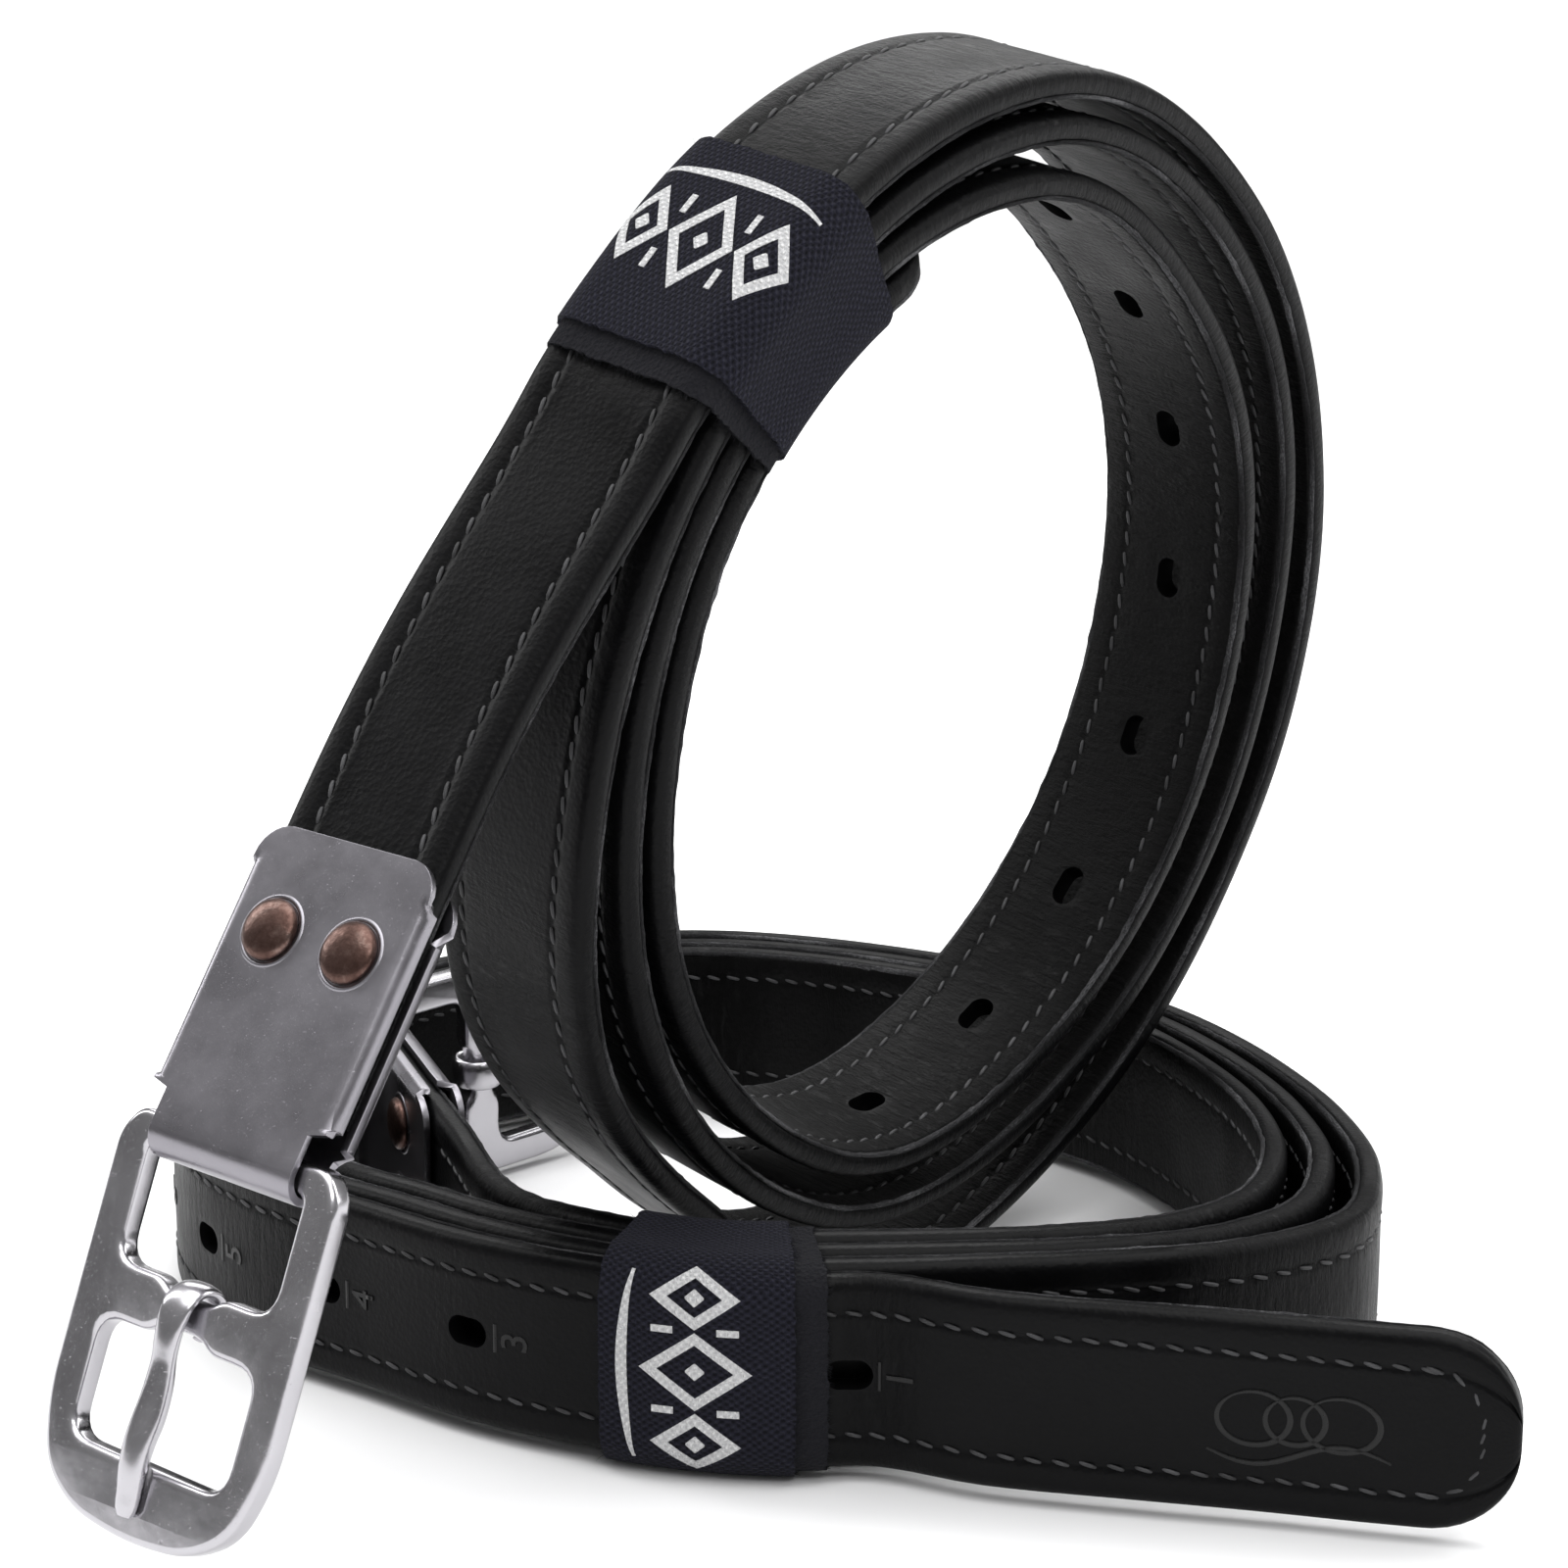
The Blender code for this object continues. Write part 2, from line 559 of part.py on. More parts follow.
def lying(mats):
    shift = np.array(ORIGIN_SHIFT)
    axes = (np.array([1.0, 0, 0]), np.array([0, 1.0, 0]), np.array([0, 0, 1.0]))
    centre = np.array(LIE_CENTRE)
    heading = math.radians(LIE_PLATE_HEADING)
    fold, ahead = np.array(LIE_FOLD), np.array([math.cos(heading), math.sin(heading)])
    origin = centre[:2]
    points = [tuple(np.array(p) - origin) for p in LIE_TIP]
    points += winding(LIE_ANGLES, LIE_TURNS, LIE_LAST)
    points += [tuple(fold - k * ahead - origin) for k in (44.0, 36.0, 24.0, 12.0, 0.0)]
    strap = Strap(points, centre + shift, axes, True, slanted(*LIE_DRIFT))
    leather("lying", strap, 1, LIE_FRAME_SWING, mats)
    band("lying", strap, ((-106.0, -83.8), (-107.0, -87.0)), mats)
    return strap


def main():
    clear_scene()
    mats = {"skin": material("black_leather", (0.012, 0.012, 0.013), 0.42),
            "lining": material("black_lining_leather", (0.016, 0.015, 0.015), 0.6),
            "web": material("black_webbing", (0.02, 0.02, 0.022), 0.8),
            "steel": material("satin_steel", (0.58, 0.57, 0.58), 0.24, 1.0),
            "copper": material("aged_copper", (0.28, 0.15, 0.11), 0.35, 1.0),
            "woven": material("woven_band", (0.014, 0.014, 0.022), 0.85),
            "pile": material("pile_band", (0.012, 0.012, 0.018), 0.95)}
    lying(mats)
    standing(mats)


main()
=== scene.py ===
import math
import bmesh
import bpy
import numpy as np
from mathutils import Matrix, Vector


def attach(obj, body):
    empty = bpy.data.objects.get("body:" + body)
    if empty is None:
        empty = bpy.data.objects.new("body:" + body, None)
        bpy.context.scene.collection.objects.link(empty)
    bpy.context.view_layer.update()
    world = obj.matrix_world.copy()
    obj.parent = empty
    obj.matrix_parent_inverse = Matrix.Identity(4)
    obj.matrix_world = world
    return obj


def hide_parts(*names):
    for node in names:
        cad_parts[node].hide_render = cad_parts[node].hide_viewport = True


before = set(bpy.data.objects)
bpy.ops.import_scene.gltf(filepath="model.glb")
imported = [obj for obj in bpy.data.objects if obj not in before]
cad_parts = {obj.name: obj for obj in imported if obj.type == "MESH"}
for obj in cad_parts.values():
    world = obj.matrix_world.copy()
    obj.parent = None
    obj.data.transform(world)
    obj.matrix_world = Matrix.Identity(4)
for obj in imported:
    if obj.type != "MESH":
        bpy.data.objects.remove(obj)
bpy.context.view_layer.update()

MM = 0.001
rng = np.random.default_rng(7)

# ---- dimensions shared with the solids (mm)
SHIFT = np.array([5.3, -52.2, 0.0])
HALF, THICK = 12.5, 3.8
HOLE_FIRST, HOLE_PITCH, HOLE_COUNT = 82.0, 25.0, 12
PLATE_LONG, FOLD_R, STRAP_STOP = 37.0, 2.75, 6.5
SHEET = 0.9                          # steel of the buckle plate
RIVET_SIDE, RIVET_DOWN = 6.1, 12.3   # rivets from the plate's middle and from its top edge
STITCH_ROW = 8.0                     # stitch line from the strap's middle
STRAIGHT = (0.0, 12.0, 24.0, 36.0, 44.0)   # stations of the straight run behind each buckle
STAND = dict(
    turned=42.0, lean=10.5, centre=(11.3, 57.5, 91.0),
    angles=(150, 135, 120, 90, 60, 30, 0, -30, -60, -90, -120, -150, -180),
    turns=((77.3, 77.5, 79.4, 81.2, 76.9, 75.2, 76.9, 79.9, 84.8, 88.0, 76.8, 74.6, 70.6),
           (71.4, 72.7, 73.9, 75.5, 71.2, 69.0, 68.7, 71.6, 74.5, 76.1, 70.0, 65.7, 64.4),
           (66.8, 68.0, 68.8, 68.4, 61.9, 59.5, 59.1, 61.7, 65.4, 68.0, 62.7, 59.7, 59.1)),
    last=((150, 62.1), (135, 63.2), (120, 64.0), (108, 64.3)),
    fold=(-118.9, -35.4), rise=55.0, tail=((-76.4, 25.3),), drift=(9.0, 9.0), swing=-13.0)
LIE = dict(
    centre=(-8.0, 70.0, 14.5),
    angles=(-80, -95, -110, -125, -140, -155, -170, -200, -230, -245, -260, -275, -290, -320,
            -350, -365, -380, -392, -402, -414, -428),
    turns=((69.5, 68.0, 66.2, 66.0, 67.6, 74.0, 80.0, 85.0, 86.5, 87.5, 86.5, 81.5, 77.0, 74.8,
            76.0, 80.0, 85.5, 88.5, 84.0, 75.0, 67.5),
           (64.4, 63.4, 61.6, 61.4, 62.8, 68.8, 74.6, 79.6, 81.2, 82.3, 81.4, 76.7, 72.4, 70.2,
            71.2, 74.6, 79.2, 81.2, 78.0, 69.8, 62.7),
           (59.6, 58.8, 57.0, 56.8, 58.0, 63.6, 69.2, 74.2, 75.9, 77.1, 76.4, 71.9, 67.7, 65.6,
            66.4, 69.2, 72.6, 73.8, 71.2, 64.6, 57.8)),
    last=((-80, 54.8), (-95, 54.2), (-110, 52.4), (-125, 51.6)),
    tip=((81.5, -18.5), (68.0, -15.4), (54.0, -12.0), (37.0, -8.4), (19.0, -4.2)),
    fold=(-66.0, 96.0), heading=111.0, drift=(3.4, 3.6), swing=-68.0)


# ---- node material helpers
def set_stops(ramp, stops):
    """Give a colour ramp its stops, as pairs of place and colour."""
    while len(ramp.elements) < len(stops):
        ramp.elements.new(0.5)
    for element, (at, colour) in zip(ramp.elements, stops):
        element.position = at
        element.color = (*colour, 1.0)


class Nodes:
    """A small wrapper for building procedural materials."""

    def __init__(self, name):
        self.mat = bpy.data.materials.new(name)
        self.mat.use_nodes = True
        self.tree = self.mat.node_tree
        self.shader = self.tree.nodes["Principled BSDF"]

    def add(self, kind, ins=None, **props):
        node = self.tree.nodes.new(kind)
        for key, value in props.items():
            setattr(node, key, value)
        for key, value in (ins or {}).items():
            self.put(node.inputs[key], value)
        return node

    def put(self, socket, value):
        if isinstance(value, bpy.types.NodeSocket):
            self.tree.links.new(value, socket)
        elif isinstance(value, bpy.types.Node):
            self.tree.links.new(value.outputs[0], socket)
        else:
            socket.default_value = value

    def set(self, **inputs):
        for key, value in inputs.items():
            self.put(self.shader.inputs[key.replace("_", " ")], value)

    def math(self, how, a, b=0.0):
        node = self.add("ShaderNodeMath", operation=how)
        self.put(node.inputs[0], a)
        self.put(node.inputs[1], b)
        return node.outputs[0]

    def noise(self, vector, scale, detail=3.0, rough=0.55):
        node = self.add("ShaderNodeTexNoise", {"Scale": scale, "Detail": detail, "Roughness": rough})
        self.put(node.inputs["Vector"], vector)
        return node.outputs[0]

    def stretch(self, vector, scale):
        node = self.add("ShaderNodeMapping")
        self.put(node.inputs["Vector"], vector)
        node.inputs["Scale"].default_value = scale
        return node.outputs[0]

    def ramp(self, value, stops):
        node = self.add("ShaderNodeValToRGB")
        set_stops(node.color_ramp, stops)
        self.put(node.inputs[0], value)
        return node.outputs[0]

    def spread(self, value, low, high, to_low, to_high):
        node = self.add("ShaderNodeMapRange")
        for k, v in enumerate((value, low, high, to_low, to_high)):
            self.put(node.inputs[k], v)
        return node.outputs[0]

    def bump(self, height, strength, distance, normal=None):
        node = self.add("ShaderNodeBump", {"Strength": strength, "Distance": distance,
                                           "Height": height})
        if normal is not None:
            self.put(node.inputs["Normal"], normal)
        return node.outputs[0]


def leather(name, dark, light, rough, grain, crease):
    """Finished leather: fine grain, creases across the strap where it bends, soft mottling."""
    n = Nodes(name)
    uv = n.add("ShaderNodeUVMap", uv_map="strap").outputs[0]
    bend = n.add("ShaderNodeAttribute", attribute_name="bend").outputs["Fac"]
    mottle = n.noise(uv, 0.09, 5.0, 0.6)
    wide = n.noise(n.stretch(uv, (0.75, 0.17, 1.0)), 1.0, 6.0, 0.7)
    fine = n.noise(n.stretch(uv, (2.2, 0.9, 1.0)), 1.0, 5.0, 0.65)
    pores = n.add("ShaderNodeTexVoronoi", {"Scale": 1.5, "Vector": uv}).outputs["Distance"]
    scuff = n.noise(n.stretch(uv, (0.22, 1.1, 1.0)), 1.0, 6.0, 0.75)
    colour = n.ramp(n.math("ADD", n.math("MULTIPLY", mottle, 0.75), n.math("MULTIPLY", scuff, 0.25)),
                    ((0.30, dark), (0.72, light)))
    sheen = n.math("ADD", n.spread(mottle, 0.3, 0.7, rough - 0.06, rough + 0.07),
                   n.spread(scuff, 0.62, 0.8, 0.0, 0.16))
    lines = n.math("MULTIPLY", n.spread(wide, 0.42, 0.62, 1.0, 0.0),
                   n.math("ADD", bend, 0.03))
    hair = n.math("MULTIPLY", n.spread(fine, 0.35, 0.6, 1.0, 0.0),
                  n.math("ADD", n.math("MULTIPLY", bend, 0.8), 0.15))
    normal = n.bump(pores, grain, 0.00012)
    normal = n.bump(n.noise(uv, 3.2, 3.0), 0.25, 0.00008, normal)
    normal = n.bump(hair, 0.5 * crease, 0.00016, normal)
    normal = n.bump(lines, crease, 0.0004, normal)
    n.set(Base_Color=colour, Roughness=sheen, Normal=normal, Specular_IOR_Level=0.095)
    return n.mat


def raw_edge():
    """Cut leather: pale, fuzzy fibres."""
    n = Nodes("raw_cut_leather")
    uv = n.add("ShaderNodeUVMap", uv_map="strap").outputs[0]
    fibre = n.noise(n.stretch(uv, (1.6, 5.0, 1.0)), 1.0, 6.0, 0.8)
    blot = n.noise(n.stretch(uv, (0.045, 0.2, 1.0)), 1.0, 4.0)
    colour = n.ramp(n.math("ADD", n.math("MULTIPLY", fibre, 0.5), n.math("MULTIPLY", blot, 0.5)),
                    ((0.40, (0.004, 0.004, 0.0045)), (0.52, (0.030, 0.030, 0.032)),
                     (0.70, (0.24, 0.24, 0.25))))
    n.set(Base_Color=colour, Roughness=0.92, Specular_IOR_Level=0.2,
          Normal=n.bump(fibre, 0.9, 0.0004))
    return n.mat


def thread():
    """Waxed grey sewing thread."""
    n = Nodes("waxed_thread")
    spot = n.add("ShaderNodeTexCoord").outputs["Object"]
    twist = n.noise(spot, 5200.0, 3.0)
    tone = n.noise(spot, 160.0, 3.0)
    colour = n.ramp(tone, ((0.35, (0.008, 0.008, 0.009)), (0.65, (0.040, 0.040, 0.043))))
    n.set(Base_Color=colour, Roughness=0.55, Normal=n.bump(twist, 0.6, 0.0001))
    return n.mat


def steel(name, colour, rough, brushed):
    """Polished stainless steel with fine scratches, smears and a few nicks."""
    n = Nodes(name)
    spot = n.add("ShaderNodeTexCoord").outputs["Object"]
    smear = n.noise(spot, 90.0, 5.0, 0.6)
    hair = n.noise(n.stretch(spot, (9000.0, 900.0, 2400.0)), 1.0, 3.0, 0.7)
    cross = n.noise(n.stretch(spot, (700.0, 5200.0, 5200.0)), 1.0, 4.0, 0.7)
    nick = n.add("ShaderNodeTexVoronoi", {"Scale": 420.0, "Vector": spot}).outputs["Distance"]
    scratch = n.spread(cross, 0.66, 0.74, 0.0, 1.0)
    tint = n.ramp(smear, ((0.3, tuple(0.88 * c for c in colour)), (0.7, colour)))
    value = n.math("ADD", n.spread(smear, 0.3, 0.75, rough - 0.05, rough + 0.09),
                   n.math("MULTIPLY", scratch, 0.2))
    normal = n.bump(hair, brushed, 0.00003)
    normal = n.bump(scratch, 0.5, 0.00006, normal)
    normal = n.bump(n.spread(nick, 0.0, 0.12, 0.0, 1.0), 0.12, 0.00006, normal)
    normal = n.bump(n.noise(spot, 260.0, 2.0), 0.10, 0.0004, normal)
    n.set(Base_Color=tint, Metallic=1.0, Roughness=value, Normal=normal)
    return n.mat


def copper():
    """Brown, handled copper rivet heads."""
    n = Nodes("aged_copper_rivet")
    spot = n.add("ShaderNodeTexCoord").outputs["Object"]
    patch = n.noise(spot, 520.0, 6.0, 0.7)
    dent = n.noise(spot, 900.0, 3.0)
    colour = n.ramp(patch, ((0.3, (0.050, 0.027, 0.022)), (0.52, (0.105, 0.062, 0.052)),
                            (0.75, (0.22, 0.155, 0.135))))
    n.set(Base_Color=colour, Metallic=1.0, Roughness=n.spread(patch, 0.3, 0.7, 0.42, 0.27),
          Normal=n.bump(dent, 0.35, 0.0002))
    return n.mat


def weave(name, dark, light, pitch, depth):
    """Coarse plain weave drawn in the strip's own length and width."""
    n = Nodes(name)
    uv = n.add("ShaderNodeUVMap", uv_map="strap").outputs[0]
    wobble = n.noise(uv, 0.35, 3.0)
    split = n.add("ShaderNodeSeparateXYZ", {"Vector": uv})
    k = math.pi / pitch
    u = n.math("SINE", n.math("MULTIPLY", n.math("ADD", split.outputs[0], wobble), k))
    v = n.math("SINE", n.math("MULTIPLY", n.math("ADD", split.outputs[1], wobble), k * 1.25))
    cell = n.math("MULTIPLY", u, v)
    strand = n.math("ABSOLUTE", cell)
    height = n.math("ADD", n.math("MULTIPLY", cell, 0.5), n.math("MULTIPLY", strand, 0.6))
    fuzz = n.noise(uv, 6.0, 4.0, 0.7)
    tone = n.math("ADD", n.math("MULTIPLY", n.spread(cell, -1.0, 1.0, 0.0, 1.0), 0.55),
                  n.math("MULTIPLY", fuzz, 0.5))
    colour = n.ramp(tone, ((0.3, dark), (0.85, light)))
    normal = n.bump(height, depth, 0.0005)
    normal = n.bump(fuzz, 0.5, 0.00025, normal)
    n.set(Base_Color=colour, Roughness=0.88, Normal=normal, Specular_IOR_Level=0.1,
          Sheen_Weight=0.02, Sheen_Roughness=0.6)
    return n.mat


def pile(name, dark, light):
    """Brushed loop pile."""
    n = Nodes(name)
    uv = n.add("ShaderNodeUVMap", uv_map="strap").outputs[0]
    loops = n.add("ShaderNodeTexVoronoi", {"Scale": 1.9, "Vector": uv}).outputs["Distance"]
    fuzz = n.noise(uv, 5.0, 5.0, 0.8)
    n.set(Base_Color=n.ramp(fuzz, ((0.3, dark), (0.75, light))), Roughness=0.95,
          Specular_IOR_Level=0.1, Sheen_Weight=0.04, Sheen_Roughness=0.7,
          Normal=n.bump(n.math("ADD", loops, fuzz), 0.9, 0.0007))
    return n.mat


def plain(name, colour, rough, scale, depth):
    """Even finish with a slight mottle."""
    n = Nodes(name)
    spot = n.add("ShaderNodeTexCoord").outputs["Object"]
    tone = n.noise(spot, scale, 4.0)
    n.set(Base_Color=n.ramp(tone, ((0.3, tuple(0.8 * c for c in colour)), (0.7, colour))),
          Roughness=n.spread(tone, 0.3, 0.7, rough - 0.05, rough + 0.05), Specular_IOR_Level=0.3,
          Normal=n.bump(tone, 0.3, depth))
    return n.mat


MATS = {
    "skin": leather("black_bridle_leather", (0.0012, 0.0012, 0.0014), (0.0036, 0.0036, 0.0040),
                    0.39, 0.34, 0.5),
    "lining": leather("black_lining_leather", (0.0010, 0.0010, 0.0011), (0.0030, 0.0029, 0.0030),
                      0.46, 0.6, 1.0),
    "raw": raw_edge(), "thread": thread(), "copper": copper(),
    "plate": steel("satin_plate_steel", (0.29, 0.28, 0.305), 0.30, 0.12),
    "frame": steel("polished_buckle_steel", (0.50, 0.49, 0.515), 0.20, 0.07),
    "weave": weave("navy_black_weave", (0.0018, 0.0018, 0.0036), (0.026, 0.026, 0.042), 0.6, 0.9),
    "white": weave("white_woven_figure", (0.42, 0.42, 0.43), (0.86, 0.86, 0.86), 0.6, 0.7),
    "pile": pile("black_loop_pile", (0.0012, 0.0012, 0.0024), (0.014, 0.014, 0.022)),
    "stamp": plain("stamped_mark", (0.0010, 0.0010, 0.0011), 0.30, 1500.0, 0.0001)}


# ---- mesh helpers
def in_scene(name, data):
    """New object, linked to the scene."""
    ob = bpy.data.objects.new(name, data)
    bpy.context.scene.collection.objects.link(ob)
    return ob


def shade(mesh, angle=None):
    """Smooth shading, left sharp where faces meet at more than the angle in degrees."""
    for poly in mesh.polygons:
        poly.use_smooth = True
    if angle is not None:
        mesh.set_sharp_from_angle(angle=math.radians(angle))


def new_object(name, mesh, mat, body, angle=None):
    """New smooth-shaded piece of one material that rides on a body."""
    mesh.materials.append(MATS[mat])
    shade(mesh, angle)
    ob = in_scene(name, mesh)
    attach(ob, body)
    return ob


def evaluated(ob):
    """Fresh mesh of an object with its modifiers or curve settings applied."""
    bpy.context.view_layer.update()
    graph = bpy.context.evaluated_depsgraph_get()
    return bpy.data.meshes.new_from_object(ob.evaluated_get(graph))


def apply_modifiers(ob):
    mesh = evaluated(ob)
    ob.modifiers.clear()
    old, ob.data = ob.data, mesh
    bpy.data.meshes.remove(old)


def thicken(ob, thick):
    """Give a sheet its thickness, half to each side."""
    mod = ob.modifiers.new("sheet", "SOLIDIFY")
    mod.thickness, mod.offset = thick * MM, 0.0


def bake(ob, angle):
    apply_modifiers(ob)
    shade(ob.data, angle)


def cut(ob, tool):
    """Take the tool's shape out of an object, then remove the tool."""
    mod = ob.modifiers.new("cut", "BOOLEAN")
    mod.operation, mod.solver, mod.object = "DIFFERENCE", "EXACT", tool
    apply_modifiers(ob)
    bpy.data.objects.remove(tool)


def mesh_from(name, verts, faces):
    mesh = bpy.data.meshes.new(name)
    mesh.from_pydata((np.asarray(verts) * MM).tolist(), [], faces)
    return mesh


def outward(mesh):
    """Turn every face of a closed mesh outward."""
    bm = bmesh.new()
    bm.from_mesh(mesh)
    bmesh.ops.recalc_face_normals(bm, faces=bm.faces)
    if bm.calc_volume(signed=True) < 0:
        bmesh.ops.reverse_faces(bm, faces=bm.faces)
    bm.to_mesh(mesh)
    bm.free()


def unit(rows):
    return rows / np.linalg.norm(rows, axis=1)[:, None]


def run_length(points):
    """Distance travelled along a path at each of its points."""
    return np.r_[0.0, np.cumsum(np.linalg.norm(np.diff(points, axis=0), axis=1))]


def left_of(path, *at):
    """Unit vectors to the left of a flat path."""
    heading = unit(np.gradient(path, *at, axis=0))
    return np.stack([-heading[:, 1], heading[:, 0]], -1)


def flat_map(mesh, flat):
    """Store each vertex's flat place, in millimetres, as the strap UV map."""
    layer = mesh.uv_layers.new(name="strap")
    index = np.empty(len(mesh.loops), int)
    mesh.loops.foreach_get("vertex_index", index)
    layer.data.foreach_set("uv", np.asarray(flat, np.float32)[index].ravel())


def grid(name, points, across, along, closed=True, caps=True):
    """Surface through rows of points; `along` and `across` give its flat map in millimetres."""
    rows, cols = points.shape[:2]
    verts = points.reshape(-1, 3)
    span = cols if closed else cols - 1
    i, j = np.meshgrid(np.arange(rows - 1), np.arange(span), indexing="ij")
    a = i * cols + j
    b = i * cols + (j + 1) % cols
    quads = np.stack([a, b, b + cols, a + cols], -1).reshape(-1, 4)
    faces = quads.tolist()
    if closed and caps:
        faces += [list(range(cols - 1, -1, -1)), list(range((rows - 1) * cols, rows * cols))]
    mesh = mesh_from(name, verts, faces)
    flat_map(mesh, np.stack([np.repeat(along, cols), np.tile(across, rows)], -1))
    return mesh


def vertex_value(mesh, name, values):
    attribute = mesh.attributes.new(name, "FLOAT", "POINT")
    attribute.data.foreach_set("value", np.asarray(values, np.float32))


def waves(s, seed, size, spans):
    """Gentle unevenness along a strap."""
    r = np.random.default_rng(seed)
    out = np.zeros_like(s, float)
    for span in spans:
        out += np.sin(2 * math.pi * s / span + r.uniform(0, 6.3)) / len(spans)
    return size * out


# ---- the winding, as in the solids
def smooth_curve(points, per_span):
    """Cubic curve through the points, with so many steps between each two."""
    pts = np.array(points, float)
    t = run_length(pts)
    slope = np.diff(pts, axis=0) / np.diff(t)[:, None]
    tan = np.empty_like(pts)
    tan[0], tan[-1] = slope[0], slope[-1]
    w = (np.diff(t)[1:] / (t[2:] - t[:-2]))[:, None]
    tan[1:-1] = w * slope[:-1] + (1 - w) * slope[1:]
    out = []
    for i in range(len(pts) - 1):
        h = t[i + 1] - t[i]
        for k in range(per_span):
            s = k / per_span
            out.append((2 * s**3 - 3 * s**2 + 1) * pts[i] + (s**3 - 2 * s**2 + s) * h * tan[i]
                       + (3 * s**2 - 2 * s**3) * pts[i + 1] + (s**3 - s**2) * h * tan[i + 1])
    out.append(pts[-1])
    return np.array(out)


def winding(angles, turns, last):
    """Points along a coil, from the radius of each turn at each angle in degrees."""
    knots = [(a - 360 * k, r) for k, row in enumerate(turns) for a, r in zip(angles, row)]
    knots += [(last[0][0] - 360 * len(turns) - (last[0][0] - a), r) for a, r in last]
    curve = smooth_curve([(-a, r) for a, r in knots], 3)
    return [(r * math.cos(math.radians(-a)), r * math.sin(math.radians(-a))) for a, r in curve]


class Strap:
    """Centre line of one leather with its axes, from the tip (d = 0) to the buckle."""

    def __init__(self, points, centre, axes, tip_first, drift):
        self.pts = smooth_curve(points, 5)
        self.s = run_length(self.pts)
        self.length = float(self.s[-1])
        self.centre, self.axes, self.tip_first = np.array(centre, float), axes, tip_first
        self.height, self.slope = drift[0], math.tan(math.radians(drift[1]))
        self.tan = unit(np.gradient(self.pts, self.s, axis=0))
        turn = np.gradient(np.unwrap(np.arctan2(self.tan[:, 1], self.tan[:, 0])), self.s)
        self.bend = np.convolve(turn, np.ones(7) / 7, "same")

    def sideways(self, d):
        """Shift along the coil's axis, and its slope, at distance d from the buckle."""
        run = STRAIGHT[-1]
        reach = run + 2 * (self.height / self.slope - run)
        k = np.clip(reach - d, 0.0, None) / (reach - run)
        near = d < run
        return (np.where(near, self.height - self.slope * d, self.slope * (reach - run) * k * k / 2),
                np.where(near, -self.slope, -self.slope * k))

    def place(self, d):
        """Rows of centre, width axis, outward normal and heading at distance d from the tip."""
        d = np.atleast_1d(np.asarray(d, float))
        s = d if self.tip_first else self.length - d
        x, y = (np.interp(s, self.s, self.pts[:, k]) for k in (0, 1))
        tx, ty = (np.interp(s, self.s, self.tan[:, k]) for k in (0, 1))
        size = np.hypot(tx, ty)
        tx, ty = tx / size, ty / size
        u, v, w = self.axes
        shift, slope = self.sideways(self.length - s if self.tip_first else s)
        slope = -slope if self.tip_first else slope
        along = tx[:, None] * u + ty[:, None] * v
        size = np.hypot(1.0, slope)[:, None]
        mid = self.centre + x[:, None] * u + y[:, None] * v + shift[:, None] * w
        wide = (w - slope[:, None] * along) / size
        out = -ty[:, None] * u + tx[:, None] * v
        heading = (along + slope[:, None] * w) / size
        return mid, wide, out, heading if self.tip_first else -heading

    def curl(self, d):
        """Signed bend per millimetre; positive where the outside of the strap is stretched."""
        s = d if self.tip_first else self.length - d
        return -np.interp(s, self.s, self.bend)

    def radii(self, angle):
        """How far out the centre line crosses a ray from the coil's centre."""
        ray = math.radians(angle)
        x, y = self.pts[:, 0], self.pts[:, 1]
        side = x * -math.sin(ray) + y * math.cos(ray)
        reach = x * math.cos(ray) + y * math.sin(ray)
        hit = np.nonzero((side[:-1] * side[1:] <= 0) & (reach[:-1] > 0))[0]
        k = side[hit] / (side[hit] - side[hit + 1])
        return reach[hit] * (1 - k) + reach[hit + 1] * k


def coil_axes(turned, lean):
    """Axes of the standing coil: two in its plane and one along its width."""
    a, b = math.radians(turned), math.radians(lean)
    w = np.array([math.cos(a) * math.cos(b), -math.sin(a) * math.cos(b), -math.sin(b)])
    u = np.array([math.sin(a), math.cos(a), 0.0])
    return u, np.cross(w, u), w


def standing_strap():
    c = STAND
    rise = math.radians(c["rise"])
    fold, back = np.array(c["fold"]), np.array([math.cos(rise), math.sin(rise)])
    points = [tuple(fold + k * back) for k in STRAIGHT]
    points += list(c["tail"]) + winding(c["angles"], c["turns"], c["last"])
    return Strap(points, np.array(c["centre"]) + SHIFT, coil_axes(c["turned"], c["lean"]), False,
                 c["drift"])


def lying_strap():
    c = LIE
    heading = math.radians(c["heading"])
    fold, ahead = np.array(c["fold"]), np.array([math.cos(heading), math.sin(heading)])
    origin = np.array(c["centre"][:2])
    points = [tuple(np.array(p) - origin) for p in c["tip"]]
    points += winding(c["angles"], c["turns"], c["last"])
    points += [tuple(fold - k * ahead - origin) for k in reversed(STRAIGHT)]
    axes = (np.array([1.0, 0, 0]), np.array([0, 1.0, 0]), np.array([0, 0, 1.0]))
    return Strap(points, np.array(c["centre"]) + SHIFT, axes, True, c["drift"])


class End:
    """Axes at the fold of a buckle plate: across, down (strap to buckle) and out."""

    def __init__(self, across, down, out, fold):
        self.across, self.down, self.out, self.fold = across, down, out, fold

    def at(self, x, t, y):
        x, t, y = (np.asarray(k, float)[..., None] for k in (x, t, y))
        return self.fold + x * self.across + t * self.down + y * self.out

    def hung(self, degrees):
        c, s = math.cos(math.radians(degrees)), math.sin(math.radians(degrees))
        return End(self.across, c * self.down + s * self.out,
                   c * self.out - s * self.down, self.fold)

    def matrix(self):
        m = Matrix.Identity(4)
        for k, axis in enumerate((self.across, self.down, self.out, self.fold * MM)):
            m.col[k][:3] = axis
        return m


# ---- leather
TIP_R = 11.0


